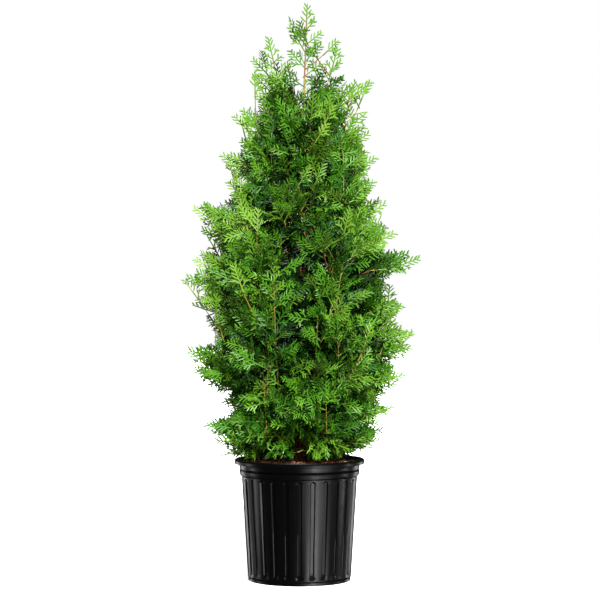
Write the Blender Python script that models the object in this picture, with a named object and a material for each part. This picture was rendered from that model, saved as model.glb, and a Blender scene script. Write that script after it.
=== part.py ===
"""A young arborvitae with a full, ascending crown, standing in a ribbed black nursery pot.

Metres, +Z up. The origin is the middle of the pot's flat underside, -Y is the side that faces the viewer
and +X is the viewer's right. Every branch follows one rule: it leaves the trunk, sweeps out to the crown's
outline, is a bare limb as far as its mass of foliage, and goes on in there as the mass's stem. The stem bears
twigs on alternate sides, and each twig ends in a flat toothed spray.
"""

import itertools
import math
import random
from collections import namedtuple

import bmesh
import bpy
import numpy as np
from mathutils import Matrix, Vector
from mathutils.bvhtree import BVHTree

# Clearance between two pieces that touch, and the angle over which an edge is drawn sharp
GAP = 0.0003
SHARP_ANGLE = math.radians(40.0)

# Colours, linear
POT_BLACK = (0.012, 0.012, 0.013)
MULCH_BROWN = (0.090, 0.034, 0.019)
TRUNK_TAN = (0.262, 0.120, 0.047)
BOUGH_TAN = (0.275, 0.150, 0.055)
LEAF_GREEN = (0.090, 0.300, 0.020)

# Pot: a moulded container of about eleven litres
POT_HEIGHT = 0.256
LIP_RADIUS = 0.1375
LIP_HEIGHT = 0.011
LIP_WIDTH = 0.0095
LIP_ROUND = 0.0030
MOUTH_DEPTH = 0.0065
COLLAR_RADIUS = 0.1270
COLLAR_HEIGHT = 0.006
COLLAR_CHAMFER = 0.0030
GROOVE_RADIUS = 0.1245
RING_RADIUS = 0.1267
RING_BOTTOM = 0.2215
RING_HEIGHT = 0.0115
RING_CHAMFER = 0.0021
BODY_TOP_RADIUS = 0.1220
BODY_TOP = 0.2190
BODY_FOOT_RADIUS = 0.1090
FOOT_HEIGHT = 0.0080
FOOT_INSET = 0.0012
WALL = 0.0032
FLOOR = 0.0030
CHANNELS = 27
CHANNEL_DEPTH = 0.0014
CHANNEL_HALF_WIDTH = 0.0055
CHANNEL_BOTTOM = 0.0105
CHANNEL_TOP = 0.2165
CHANNEL_END = 0.0060
FRONT = -math.pi / 2

# Soil: bark mulch, heaped a little at the trunk
SOIL_EDGE = 0.2490
SOIL_HEAP = 0.2520
SOIL_FLAT = 0.0160

# Trunk: from its flat cut on the soil to its tip, leaning to +X near the top
TRUNK_FOOT = SOIL_HEAP + GAP
TRUNK_TIP = 1.0600
TRUNK_FOOT_RADIUS = 0.0086
TRUNK_TIP_RADIUS = 0.0019
TRUNK_TAPER = 1.7
FLARE_RADIUS = 0.0026
FLARE_HEIGHT = 0.0140
FLARE_LOBES = 3
FLARE_LOBE_DEPTH = 0.15
TRUNK_SIDES = 9
TRUNK_STATIONS = 15
STATION_CROWDING = 1.4
LEADER_TIP = 1.2190
LEAN = 0.0155
SWAY = 0.0018
SWAY_TURNS = 1.4

# Branches: each tier's tips, on the viewer's left and right, follow the crown's outline.
# limb is the bare share of the branch and 0 where the mass starts at the trunk. The branch bends at the share
# bend_out of its reach and bend_up of its rise: it sweeps up where bend_up is smaller, and arches otherwise.
Tier = namedtuple(
    "Tier",
    "name count azimuth start left_height left_reach right_height right_reach"
    " limb radius bend_out bend_up sprays",
)
TIERS = (
    Tier("lowest", 6, -8.0, 0.277, 0.322, 0.207, 0.338, 0.210, 0.20, 0.0023, 0.50, 0.80, 7),
    Tier("lower", 6, 6.0, 0.303, 0.480, 0.246, 0.515, 0.252, 0.30, 0.0029, 0.56, 0.46, 5),
    Tier("middle", 6, -3.0, 0.345, 0.640, 0.254, 0.680, 0.270, 0.38, 0.0034, 0.56, 0.42, 5),
    Tier("upper", 5, 18.0, 0.430, 0.785, 0.240, 0.815, 0.212, 0.42, 0.0032, 0.56, 0.40, 5),
    Tier("shoulder", 4, -10.0, 0.640, 0.890, 0.196, 0.920, 0.190, 0.0, 0.0024, 0.56, 0.42, 5),
    Tier("high", 4, 10.0, 0.780, 1.055, 0.135, 1.055, 0.158, 0.0, 0.0020, 0.56, 0.40, 4),
    Tier("top", 2, 0.0, 0.925, 1.158, 0.070, 1.140, 0.084, 0.0, 0.0018, 0.62, 0.36, 4),
)
LEADER_SPRAYS = 4
AZIMUTH_SCATTER = math.radians(6.0)
HEIGHT_SCATTER = 0.012
REACH_SCATTER = 0.04
START_SCATTER = 0.012
LIMB_TIP_SHARE = 0.52
LIMB_SIDES = 5
LIMB_STATIONS = 5
LINE_STEPS = 4
CURVE_STEPS = 60
SEED = 100

# Masses: a three-sided stem and twigs, and flat toothed sprays
STEM_SIDES = 3
STEM_STATIONS = 4
STEM_BARE = 0.12
STEM_RADIUS = 0.0013
STEM_TIP_RADIUS = 0.0006
TWIG_RADIUS = 0.0008
TWIG_TIP_RADIUS = 0.0005
TWIG_LENGTH = (0.015, 0.045)
TWIG_SPLAY = (math.radians(30.0), math.radians(75.0))
ROLL_SCATTER = 1.3
TWIG_CLEAR = 0.004
SPRAY_LENGTH = (0.115, 0.152)
SPRAY_WIDTH_SHARE = 0.60
SPRAY_THICKNESS = 0.0014
SPRAY_ROOT = 0.006
SPRAY_LIFT = 0.35
END_SPRAY = 0.124
PETIOLE_HALF_WIDTH = 0.0013
PETIOLE = 0.014
TEETH = 3
TOOTH_ANGLE = math.radians(47.0)
TOOTH_REACH = 1.25
TOOTH_TAPER = 0.8
NOTCH_HALF_WIDTH = 0.0048
NOTCH_SHARE = 0.95

# Room: a spray is drawn again, shorter each time, until it fits, and is skipped if none does
TRIES = 90
SHORTEST = 0.50
SPRAY_ROOM = 0.0016
CELL_GAP = 0.0045
LIMB_GAP = 0.0035
LIMB_OWNER = -1
CROWN_FLOOR = 0.2605
CROWN_FLOOR_REACH = 0.175
LEADER_REACH = 0.020
END_SLACK = 0.006
SIDE_SLACK = -0.009

Branch = namedtuple("Branch", "name foot bend tip side radius limb sprays seed")
Spray = namedtuple("Spray", "foot end root axis across length")


# Centre lines

def trunk_point(height):
    """Return the trunk's middle at a height: a lean that grows to the tip, with a slow sway."""
    share = (height - TRUNK_FOOT) / (LEADER_TIP - TRUNK_FOOT)
    turn = 2 * math.pi * SWAY_TURNS * share
    return Vector((LEAN * share**3 + SWAY * math.sin(turn), SWAY * (math.cos(turn) - 1), height))


def trunk_radius(height):
    """Return the trunk's radius at a height, with the root flare at its foot."""
    share = (height - TRUNK_FOOT) / (TRUNK_TIP - TRUNK_FOOT)
    taper = TRUNK_TIP_RADIUS + (TRUNK_FOOT_RADIUS - TRUNK_TIP_RADIUS) * (1 - share) ** TRUNK_TAPER
    return taper + FLARE_RADIUS * math.exp(-(height - TRUNK_FOOT) / FLARE_HEIGHT)


def branch_point(branch, share):
    """Return the point at a share of a branch's curve, from its foot in the trunk to its tip."""
    rest = 1 - share
    return branch.foot * rest**2 + branch.bend * (2 * rest * share) + branch.tip * share**2


def branch_tangent(branch, share):
    """Return the unit direction of a branch's curve at a share of it."""
    run = (branch.bend - branch.foot) * (1 - share) + (branch.tip - branch.bend) * share
    return run.normalized()


def curve_share(branch, distance_from_tip):
    """Return the share of the curve that lies the given distance before the tip."""
    length = 0.0
    after = branch.tip
    for step in range(CURVE_STEPS - 1, -1, -1):
        before = branch_point(branch, step / CURVE_STEPS)
        length += (after - before).length
        if length >= distance_from_tip:
            return step / CURVE_STEPS
        after = before
    return 0.0


def tier_branches(index, tier):
    """Return a tier's branches, spaced evenly round the trunk with a seeded scatter."""
    draw = random.Random(SEED + index)
    branches = []
    for number in range(tier.count):
        azimuth = math.radians(tier.azimuth + 360.0 * number / tier.count)
        azimuth += draw.uniform(-AZIMUTH_SCATTER, AZIMUTH_SCATTER)
        right = (1 + math.cos(azimuth)) / 2
        reach = tier.left_reach + (tier.right_reach - tier.left_reach) * right
        height = tier.left_height + (tier.right_height - tier.left_height) * right
        reach *= 1 - REACH_SCATTER * draw.random()
        height += draw.uniform(-HEIGHT_SCATTER, HEIGHT_SCATTER)
        foot = trunk_point(tier.start + START_SCATTER * (number % 3))
        outward = Vector((math.cos(azimuth), math.sin(azimuth), 0.0))
        tip = outward * reach + Vector((0.0, 0.0, height))
        bend = foot.lerp(tip, tier.bend_out)
        bend.z = foot.z + (tip.z - foot.z) * tier.bend_up
        side = (tip - foot).cross(Vector((0.0, 0.0, 1.0))).normalized()
        name = f"{tier.name}_{number + 1}"
        seed = 10 * (SEED + index) + number
        branches.append(Branch(name, foot, bend, tip, side, tier.radius, tier.limb, tier.sprays, seed))
    return branches


def leader_branch():
    """Return the top shoot, which goes on from the trunk's tip."""
    foot = trunk_point(TRUNK_TIP + GAP)
    tip = trunk_point(LEADER_TIP)
    side = Vector((0.0, 1.0, 0.0))
    return Branch("leader", foot, foot.lerp(tip, 0.5), tip, side, TRUNK_TIP_RADIUS, 0.0, LEADER_SPRAYS, SEED)


# Space kept by each mass

def mass_line(branch):
    """Return the line that a mass's space is round: its branch from the limb's end to the tip."""
    start = max(branch.limb, STEM_BARE)
    return [branch_point(branch, start + (1 - start) * step / LINE_STEPS) for step in range(LINE_STEPS + 1)]


def limb_line(branch):
    """Return the line of a branch's bare limb."""
    return [branch_point(branch, branch.limb * step / LINE_STEPS) for step in range(LINE_STEPS + 1)]


def segment_distances(points, starts, ends):
    """Return the distance from every point to every straight segment, as an array."""
    runs = ends - starts
    offsets = points[:, None, :] - starts[None, :, :]
    shares = np.clip((offsets * runs).sum(2) / (runs**2).sum(1), 0.0, 1.0)
    return np.linalg.norm(offsets - shares[:, :, None] * runs[None, :, :], axis=2)


def outline_reach(height, side):
    """Return the crown's reach at a height on the left or the right, read between the tiers' tips."""
    knots = [(CROWN_FLOOR, CROWN_FLOOR_REACH)]
    if side < 0:
        knots += [(tier.left_height, tier.left_reach) for tier in TIERS]
    else:
        knots += [(tier.right_height, tier.right_reach) for tier in TIERS]
    knots.append((LEADER_TIP, LEADER_REACH))
    heights, reaches = zip(*knots)
    return np.interp(height, heights, reaches, right=0.0)


def inside_crown(points, slack):
    """Tell whether every point is inside the crown's outline, give or take slack, and above the pot."""
    radii = np.hypot(points[:, 0], points[:, 1]) + 1e-6
    right = (1 + points[:, 0] / radii) / 2
    reach = outline_reach(points[:, 2], -1) * (1 - right) + outline_reach(points[:, 2], 1) * right
    return points[:, 2].min() > CROWN_FLOOR and (radii < reach + slack).all()


class Spaces:
    """The lines of all masses and limbs, to which a spray's points are measured."""

    def __init__(self, branches):
        self.starts, self.ends, self.owners, self.radii = [], [], [], []
        for number, branch in enumerate(branches):
            self.add_line(mass_line(branch), number, 0.0)
            if branch.limb:
                self.add_line(limb_line(branch), LIMB_OWNER, branch.radius)
        for low, high in itertools.pairwise(np.linspace(TRUNK_FOOT, TRUNK_TIP, 2 * TRUNK_STATIONS)):
            self.add_line([trunk_point(low), trunk_point(high)], LIMB_OWNER, trunk_radius(low))
        self.starts = np.array(self.starts)
        self.ends = np.array(self.ends)
        self.owners = np.array(self.owners)
        self.radii = np.array(self.radii)

    def add_line(self, line, owner, radius):
        """Add a line of points as segments that belong to one owner."""
        for start, end in itertools.pairwise(line):
            self.starts.append(start)
            self.ends.append(end)
            self.owners.append(owner)
            self.radii.append(radius)

    def fits(self, points, own, slack):
        """Tell whether every point keeps to the space of mass number own and clear of the limbs."""
        points = np.array(points)
        if not inside_crown(points, slack):
            return False
        distances = segment_distances(points, self.starts, self.ends)
        limbs = self.owners == LIMB_OWNER
        if (distances[:, limbs] - self.radii[limbs]).min() < LIMB_GAP:
            return False
        near = distances[:, self.owners == own].min(1)
        others = distances[:, (self.owners != own) & ~limbs].min(1)
        return bool((others - near > CELL_GAP).all())


# Sprays

def spray_outline(length):
    """Return a toothed spray's outline as (along, across) pairs, with teeth on alternate sides."""
    half_width = length * SPRAY_WIDTH_SHARE / 2
    pitch = (length - PETIOLE) / (TEETH + 1)
    sides = []
    for side, shift in ((1, 0.0), (-1, 0.5)):
        points = [(0.0, side * PETIOLE_HALF_WIDTH)]
        for tooth in range(TEETH):
            root = PETIOLE + (tooth + shift) * pitch
            reach = half_width * TOOTH_REACH * (1 - root / length) ** TOOTH_TAPER
            points.append((root + reach / math.tan(TOOTH_ANGLE), side * reach))
            if tooth < TEETH - 1:
                points.append((root + NOTCH_SHARE * pitch, side * NOTCH_HALF_WIDTH))
        sides.append(points)
    return sides[0] + [(length, 0.0)] + sides[1][::-1]


def spray_points(spray):
    """Return a spray's outline in space."""
    outline = spray_outline(spray.length)
    return [spray.root + spray.axis * along + spray.across * over for along, over in outline]


def turned(direction, splay, roll):
    """Return a direction swung by splay away from itself, on the side that roll gives."""
    helper = Vector((0.0, 0.0, 1.0)) if abs(direction.z) < 0.9 else Vector((1.0, 0.0, 0.0))
    across = direction.cross(helper).normalized()
    across = Matrix.Rotation(roll, 3, direction) @ across
    return (Matrix.Rotation(splay, 3, across) @ direction).normalized()


def make_spray(foot, end, axis, length, turn):
    """Return a spray whose petiole sheathes the end of its twig, with its flat face turned about its axis."""
    return Spray(foot, end, end - axis * SPRAY_ROOT, axis, turned(axis, math.pi / 2, turn), length)


def spray_tree(spray):
    """Return a search tree of a spray's blade, made thicker by the room that it keeps."""
    normal = spray.axis.cross(spray.across) * SPRAY_ROOM
    outline = spray_points(spray)
    count = len(outline)
    verts = [point + normal for point in outline] + [point - normal for point in outline]
    faces = [(at, (at + 1) % count, count + (at + 1) % count, count + at) for at in range(count)]
    faces += [tuple(range(count)), tuple(range(count, 2 * count))]
    if spray.foot != spray.end:
        clear = spray.foot + spray.axis * TWIG_CLEAR
        verts += [clear + normal, clear - normal]
        faces.append((2 * count, 2 * count + 1, count - 1, 0))
    return BVHTree.FromPolygons(verts, faces)


def stem_tree(branch, first, last):
    """Return a search tree of a ribbon along a mass's stem."""
    verts = []
    for step in range(LINE_STEPS + 1):
        point = branch_point(branch, first + (last - first) * step / (LINE_STEPS + 1))
        verts += [point + branch.side * SPRAY_ROOM, point - branch.side * SPRAY_ROOM]
    faces = [(at, at + 1, at + 3, at + 2) for at in range(0, len(verts) - 2, 2)]
    return BVHTree.FromPolygons(verts, faces)


def side_spray(branch, share, place, attempt, draw):
    """Draw a side twig with its spray: later attempts are shorter, so that they fit in narrow places."""
    foot = branch_point(branch, share)
    roll = math.pi * place + draw.uniform(-ROLL_SCATTER, ROLL_SCATTER)
    heading = turned(branch_tangent(branch, share), draw.uniform(*TWIG_SPLAY), roll)
    axis = (heading + Vector((0.0, 0.0, SPRAY_LIFT * draw.random()))).normalized()
    shorter = 1 - SHORTEST * attempt / TRIES
    end = foot + axis * draw.uniform(*TWIG_LENGTH) * shorter
    length = draw.uniform(*SPRAY_LENGTH) * shorter
    return make_spray(foot, end, axis, length, draw.uniform(0, math.pi))


def end_spray(branch, share, draw):
    """Draw the spray at the stem's end, which reaches to the branch's tip."""
    end = branch_point(branch, share)
    axis = (branch.tip - end).normalized()
    return make_spray(end, end, axis, (branch.tip - end).length + SPRAY_ROOT, draw.uniform(0, math.pi))


def fitting_end_spray(branch, own, last, spaces, draw):
    """Return the first end spray that fits, or else the last one drawn, which the tip needs."""
    for _ in range(TRIES):
        spray = end_spray(branch, last, draw)
        if spaces.fits(spray_points(spray)[1:-1], own, END_SLACK):
            break
    return spray


def mass_sprays(own, branches, spaces):
    """Return the sprays of one mass by its seeded rule: one at the stem's end, the others on side twigs."""
    branch = branches[own]
    draw = random.Random(branch.seed)
    first = max(branch.limb, STEM_BARE)
    last = curve_share(branch, END_SPRAY)
    sprays = [fitting_end_spray(branch, own, last, spaces, draw)]
    trees = [spray_tree(sprays[0]), stem_tree(branch, first, last)]
    for place in range(branch.sprays):
        share = first + (last - first) * (place + 0.5) / branch.sprays
        for attempt in range(TRIES):
            spray = side_spray(branch, share, place, attempt, draw)
            if not spaces.fits([spray.end] + spray_points(spray), own, SIDE_SLACK):
                continue
            tree = spray_tree(spray)
            if not any(tree.overlap(other) for other in trees):
                sprays.append(spray)
                trees.append(tree)
                break
    return sprays


# Meshes

def add_tube(mesh, points, radii, sides, side_axis, shape=None):
    """Add a closed tube of flat-sided rings along points; side_axis is square to the tube all along."""
    rings = []
    for at, point in enumerate(points):
        before = points[max(at - 1, 0)]
        after = points[min(at + 1, len(points) - 1)]
        tangent = (after - before).normalized()
        across = (side_axis - tangent * side_axis.dot(tangent)).normalized()
        up = tangent.cross(across)
        ring = []
        for corner in range(sides):
            angle = 2 * math.pi * corner / sides
            radius = radii[at] * (shape(angle, point.z) if shape else 1.0)
            ring.append(mesh.verts.new(point + (across * math.cos(angle) + up * math.sin(angle)) * radius))
        rings.append(ring)
    for low, high in zip(rings, rings[1:]):
        for corner in range(sides):
            after = (corner + 1) % sides
            mesh.faces.new((low[corner], low[after], high[after], high[corner]))
    mesh.faces.new(rings[0][::-1])
    mesh.faces.new(rings[-1])


def add_blade(mesh, spray):
    """Add a flat toothed blade of the spray's outline and thickness."""
    normal = spray.axis.cross(spray.across) * (SPRAY_THICKNESS / 2)
    outline = spray_points(spray)
    top = [mesh.verts.new(point + normal) for point in outline]
    bottom = [mesh.verts.new(point - normal) for point in outline]
    mesh.faces.new(top)
    mesh.faces.new(bottom[::-1])
    for at in range(len(outline)):
        after = (at + 1) % len(outline)
        mesh.faces.new((top[at], bottom[at], bottom[after], top[after]))


def material(name, colour, roughness):
    """Return a plain Principled material of one colour."""
    finish = bpy.data.materials.new(name)
    finish.use_nodes = True
    shader = finish.node_tree.nodes["Principled BSDF"]
    shader.inputs["Base Color"].default_value = (*colour, 1.0)
    shader.inputs["Roughness"].default_value = roughness
    shader.inputs["Metallic"].default_value = 0.0
    return finish


def mesh_object(name, mesh, finish, origin=Vector((0.0, 0.0, 0.0))):
    """Turn a bmesh into a scene object whose origin is at the given point."""
    bmesh.ops.recalc_face_normals(mesh, faces=mesh.faces)
    bmesh.ops.triangulate(mesh, faces=[face for face in mesh.faces if len(face.verts) > 4])
    bmesh.ops.translate(mesh, verts=mesh.verts, vec=-origin)
    data = bpy.data.meshes.new(name)
    mesh.to_mesh(data)
    mesh.free()
    data.shade_smooth()
    data.set_sharp_from_angle(angle=SHARP_ANGLE)
    data.materials.append(finish)
    thing = bpy.data.objects.new(name, data)
    thing.location = origin
    bpy.context.scene.collection.objects.link(thing)
    return thing


def apply_modifiers(thing):
    """Replace an object's mesh with the one that its modifiers give."""
    bpy.context.view_layer.update()
    depsgraph = bpy.context.evaluated_depsgraph_get()
    data = bpy.data.meshes.new_from_object(thing.evaluated_get(depsgraph))
    thing.modifiers.clear()
    thing.data = data


def keep_largest_body(thing):
    """Drop loose scraps and sealed hollows, which both show as islands apart from the main skin."""
    mesh = bmesh.new()
    mesh.from_mesh(thing.data)
    left = set(mesh.verts)
    islands = []
    while left:
        island = {left.pop()}
        edge = list(island)
        while edge:
            vert = edge.pop()
            near = {link.other_vert(vert) for link in vert.link_edges} & left
            left -= near
            island |= near
            edge.extend(near)
        islands.append(island)
    islands.sort(key=len)
    for island in islands[:-1]:
        bmesh.ops.delete(mesh, geom=list(island), context="VERTS")
    mesh.to_mesh(thing.data)
    mesh.free()


def cut_clear(thing, cutter):
    """Cut an object clear of the trunk by a Boolean with the trunk's enlarged copy."""
    cut = thing.modifiers.new("clear_of_trunk", "BOOLEAN")
    cut.operation = "DIFFERENCE"
    cut.solver = "EXACT"
    cut.object = cutter
    apply_modifiers(thing)
    keep_largest_body(thing)


# Pot and soil

def body_radius(height):
    """Return the pot body's outer radius at a height."""
    share = (height - FOOT_HEIGHT) / (BODY_TOP - FOOT_HEIGHT)
    return BODY_FOOT_RADIUS + (BODY_TOP_RADIUS - BODY_FOOT_RADIUS) * share


def inner_profile():
    """Return the pot's inside as (radius, height) pairs from the lip to the floor."""
    return [
        (LIP_RADIUS - LIP_WIDTH, POT_HEIGHT - LIP_ROUND / 2),
        (GROOVE_RADIUS, POT_HEIGHT - MOUTH_DEPTH),
        (BODY_TOP_RADIUS - WALL, BODY_TOP),
        (body_radius(FLOOR) - WALL, FLOOR),
    ]


def upper_profile():
    """Return the outside above the channels: ring, groove, collar and rolled lip, upward."""
    ring_top = RING_BOTTOM + RING_HEIGHT
    lip_bottom = POT_HEIGHT - LIP_HEIGHT
    return [
        (BODY_TOP_RADIUS, BODY_TOP),
        (RING_RADIUS, RING_BOTTOM + RING_CHAMFER),
        (RING_RADIUS, ring_top - RING_CHAMFER),
        (GROOVE_RADIUS, ring_top),
        (COLLAR_RADIUS, ring_top + COLLAR_CHAMFER),
        (COLLAR_RADIUS, ring_top + COLLAR_HEIGHT),
        (LIP_RADIUS - LIP_ROUND, lip_bottom),
        (LIP_RADIUS, lip_bottom + LIP_ROUND),
        (LIP_RADIUS, POT_HEIGHT - LIP_ROUND),
        (LIP_RADIUS - LIP_ROUND, POT_HEIGHT),
    ]


def ring_of_verts(mesh, radius, height, angles):
    """Add one level ring of vertices and return it."""
    return [mesh.verts.new((radius * math.cos(turn), radius * math.sin(turn), height)) for turn in angles]


def plain_angles():
    """Return the angles of a plain ring: two a channel, at its middle and between it and the next."""
    return [FRONT + math.pi * step / CHANNELS for step in range(2 * CHANNELS)]


def channel_ring(mesh, height, depth):
    """Add a ring with four vertices a channel: its middle, sunk by depth, its edges and the land."""
    radius = body_radius(height)
    half = CHANNEL_HALF_WIDTH / radius
    pitch = 2 * math.pi / CHANNELS
    ring = []
    for channel in range(CHANNELS):
        middle = FRONT + channel * pitch
        land = [middle + half, middle + pitch / 2, middle + pitch - half]
        ring += ring_of_verts(mesh, radius - depth, height, [middle])
        ring += ring_of_verts(mesh, radius, height, land)
    return ring


def join_rings(mesh, low, high):
    """Join two rings of one count by quads."""
    for at in range(len(low)):
        after = (at + 1) % len(low)
        mesh.faces.new((low[at], low[after], high[after], high[at]))


def join_plain_to_channels(mesh, plain, fine):
    """Join a plain ring to a channel ring, which has twice as many vertices."""
    for at in range(len(plain)):
        after = (at + 1) % len(plain)
        mesh.faces.new((plain[at], fine[2 * at], fine[2 * at + 1]))
        mesh.faces.new((plain[at], fine[2 * at + 1], plain[after]))
        mesh.faces.new((plain[after], fine[2 * at + 1], fine[(2 * at + 2) % len(fine)]))


def make_pot():
    """Make the pot: channelled wall, ring, collar, rolled lip, inside and flat floor."""
    mesh = bmesh.new()
    angles = plain_angles()
    foot_radius = BODY_FOOT_RADIUS - FOOT_INSET
    foot = ring_of_verts(mesh, foot_radius, 0.0, angles)
    foot_top = ring_of_verts(mesh, foot_radius, FOOT_HEIGHT - FOOT_INSET, angles)
    body_foot = ring_of_verts(mesh, BODY_FOOT_RADIUS, FOOT_HEIGHT, angles)
    join_rings(mesh, foot, foot_top)
    join_rings(mesh, foot_top, body_foot)
    channel_rings = [
        channel_ring(mesh, CHANNEL_BOTTOM, 0.0),
        channel_ring(mesh, CHANNEL_BOTTOM + CHANNEL_END, CHANNEL_DEPTH),
        channel_ring(mesh, CHANNEL_TOP - CHANNEL_END, CHANNEL_DEPTH),
        channel_ring(mesh, CHANNEL_TOP, 0.0),
    ]
    join_plain_to_channels(mesh, body_foot, channel_rings[0])
    for low, high in zip(channel_rings, channel_rings[1:]):
        join_rings(mesh, low, high)
    profile = upper_profile() + inner_profile()
    plain_rings = [ring_of_verts(mesh, radius, height, angles) for radius, height in profile]
    join_plain_to_channels(mesh, plain_rings[0], channel_rings[-1])
    for low, high in zip(plain_rings, plain_rings[1:]):
        join_rings(mesh, low, high)
    mesh.faces.new(plain_rings[-1])
    mesh.faces.new(foot)
    mesh_object("pot", mesh, material("black_polyethylene", POT_BLACK, 0.38))


def make_soil():
    """Make the mulch that fills the pot, clear of its wall and floor, with its top heaped at the trunk."""
    mesh = bmesh.new()
    mouth, wall_top, wall_foot = inner_profile()[1:]
    share = (SOIL_EDGE - wall_top[1]) / (mouth[1] - wall_top[1])
    edge_radius = wall_top[0] + (mouth[0] - wall_top[0]) * share
    profile = [
        (SOIL_FLAT, SOIL_HEAP),
        (edge_radius - GAP, SOIL_EDGE),
        (wall_top[0] - GAP, wall_top[1]),
        (wall_foot[0] - GAP, wall_foot[1] + GAP),
    ]
    rings = [ring_of_verts(mesh, radius, height, plain_angles()) for radius, height in profile]
    for low, high in zip(rings, rings[1:]):
        join_rings(mesh, low, high)
    mesh.faces.new(rings[0])
    mesh.faces.new(rings[-1])
    mesh_object("soil", mesh, material("bark_mulch", MULCH_BROWN, 0.95))


# Trunk, boughs and masses

def flare_shape(angle, height):
    """Return the factor that gives the root flare its lobes."""
    fade = math.exp(-(height - TRUNK_FOOT) / FLARE_HEIGHT)
    return 1 + FLARE_LOBE_DEPTH * fade * math.cos(FLARE_LOBES * angle)


def trunk_mesh(extra, tail):
    """Return the trunk's mesh, larger all round by extra and longer at both ends by tail."""
    mesh = bmesh.new()
    points = []
    radii = []
    for station in range(TRUNK_STATIONS):
        share = (station / (TRUNK_STATIONS - 1)) ** STATION_CROWDING
        height = TRUNK_FOOT + (TRUNK_TIP - TRUNK_FOOT) * share
        points.append(trunk_point(height))
        radii.append(trunk_radius(height) + extra)
    points[0] = points[0] - Vector((0.0, 0.0, tail))
    points[-1] = points[-1] + Vector((0.0, 0.0, tail))
    add_tube(mesh, points, radii, TRUNK_SIDES, Vector((1.0, 0.0, 0.0)), flare_shape)
    return mesh


def branch_tube(branch, first, last, radii, sides):
    """Return the mesh of a branch's tube between two shares of its curve, with a ring for each radius."""
    mesh = bmesh.new()
    steps = len(radii) - 1
    points = [branch_point(branch, first + (last - first) * step / steps) for step in range(steps + 1)]
    add_tube(mesh, points, radii, sides, branch.side)
    return mesh


def limb_radii(branch):
    """Return the radii along a bare limb, which tapers evenly."""
    last = LIMB_STATIONS - 1
    return [branch.radius * (1 - (1 - LIMB_TIP_SHARE) * step / last) for step in range(LIMB_STATIONS)]


def stem_radii(branch):
    """Return the radii along a mass's stem, which goes on from its limb and is sheathed by its end spray."""
    start = branch.radius * (LIMB_TIP_SHARE if branch.limb else 1.0)
    body = [start + (STEM_RADIUS - start) * step / (STEM_STATIONS - 2) for step in range(STEM_STATIONS - 1)]
    return body + [STEM_TIP_RADIUS]


def make_bough(branch, cutter, bark):
    """Make a branch's bare limb, from the trunk's side to where its mass begins."""
    mesh = branch_tube(branch, 0.0, branch.limb, limb_radii(branch), LIMB_SIDES)
    bough = mesh_object(f"bough_{branch.name}", mesh, bark, branch.foot)
    cut_clear(bough, cutter)


def gap_share(branch):
    """Return the share of the branch where the stem starts, a gap past the limb's end."""
    step = 1 / CURVE_STEPS
    run = branch_point(branch, branch.limb + step) - branch_point(branch, branch.limb)
    return branch.limb + step * GAP / run.length


def add_part(parts, name, mesh, finish):
    """Put one twig or blade in the collection that the union reads."""
    part = mesh_object(name, mesh, finish)
    bpy.context.scene.collection.objects.unlink(part)
    parts.objects.link(part)


def make_parts(sprays, leaf):
    """Return a collection of a mass's blades and of the twigs that carry all but the end spray's."""
    parts = bpy.data.collections.new("parts")
    bpy.context.scene.collection.children.link(parts)
    for number, spray in enumerate(sprays):
        blade = bmesh.new()
        add_blade(blade, spray)
        add_part(parts, f"spray_{number}", blade, leaf)
        if spray.foot != spray.end:
            twig = bmesh.new()
            add_tube(twig, [spray.foot, spray.end], [TWIG_RADIUS, TWIG_TIP_RADIUS], STEM_SIDES, spray.across)
            add_part(parts, f"twig_{number}", twig, leaf)
    return parts


def join_parts(stem, parts):
    """Join a mass's twigs and blades to its stem by one Boolean union, and remove them."""
    union = stem.modifiers.new("join", "BOOLEAN")
    union.operation = "UNION"
    union.operand_type = "COLLECTION"
    union.collection = parts
    union.solver = "EXACT"
    apply_modifiers(stem)
    for part in list(parts.objects):
        bpy.data.objects.remove(part)
    bpy.data.collections.remove(parts)


def make_mass(own, branches, spaces, cutter, leaf):
    """Make a mass: its stem, with its twigs and sprays joined to it."""
    branch = branches[own]
    first = gap_share(branch) if branch.limb else 0.0
    last = curve_share(branch, END_SPRAY)
    tube = branch_tube(branch, first, last, stem_radii(branch), STEM_SIDES)
    mass = mesh_object(f"foliage_{branch.name}", tube, leaf)
    join_parts(mass, make_parts(mass_sprays(own, branches, spaces), leaf))
    if branch.foot.z < TRUNK_TIP and not branch.limb:
        cut_clear(mass, cutter)
    keep_largest_body(mass)


def make_plant():
    """Make the trunk, the boughs and the masses."""
    bark = material("trunk_bark", TRUNK_TAN, 0.85)
    mesh_object("trunk", trunk_mesh(0.0, 0.0), bark)
    cutter = mesh_object("trunk_cutter", trunk_mesh(GAP, FLARE_HEIGHT), bark)
    branches = [branch for index, tier in enumerate(TIERS) for branch in tier_branches(index, tier)]
    branches.append(leader_branch())
    spaces = Spaces(branches)
    for own, branch in enumerate(branches):
        if branch.limb:
            make_bough(branch, cutter, material(f"bark_{branch.name}", BOUGH_TAN, 0.8))
        make_mass(own, branches, spaces, cutter, material(f"leaf_{branch.name}", LEAF_GREEN, 0.6))
    bpy.data.objects.remove(cutter)


def main():
    """Clear the scene and build the potted plant."""
    for thing in list(bpy.data.objects):
        bpy.data.objects.remove(thing)
    make_pot()
    make_soil()
    make_plant()


main()
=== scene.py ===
"""Looks of a young arborvitae in a ribbed nursery pot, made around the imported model.

Laid out as a Blender add-on and run as a script. Metres; +Z is up, -Y faces the viewer.
The crown grows by the rule of the part's source: every branch leaves the trunk, sweeps out to the crown's
outline and bears twigs that end in flat sprays. Here each spray is a frond of fine branchlets, and finer
twigs with fronds of their own fill the places between.
"""

import itertools
import math
import random
from collections import namedtuple

import bpy
import numpy as np
from bpy.props import FloatProperty, FloatVectorProperty, IntProperty, PointerProperty
from mathutils import Matrix, Vector, noise
from mathutils.bvhtree import BVHTree


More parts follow.
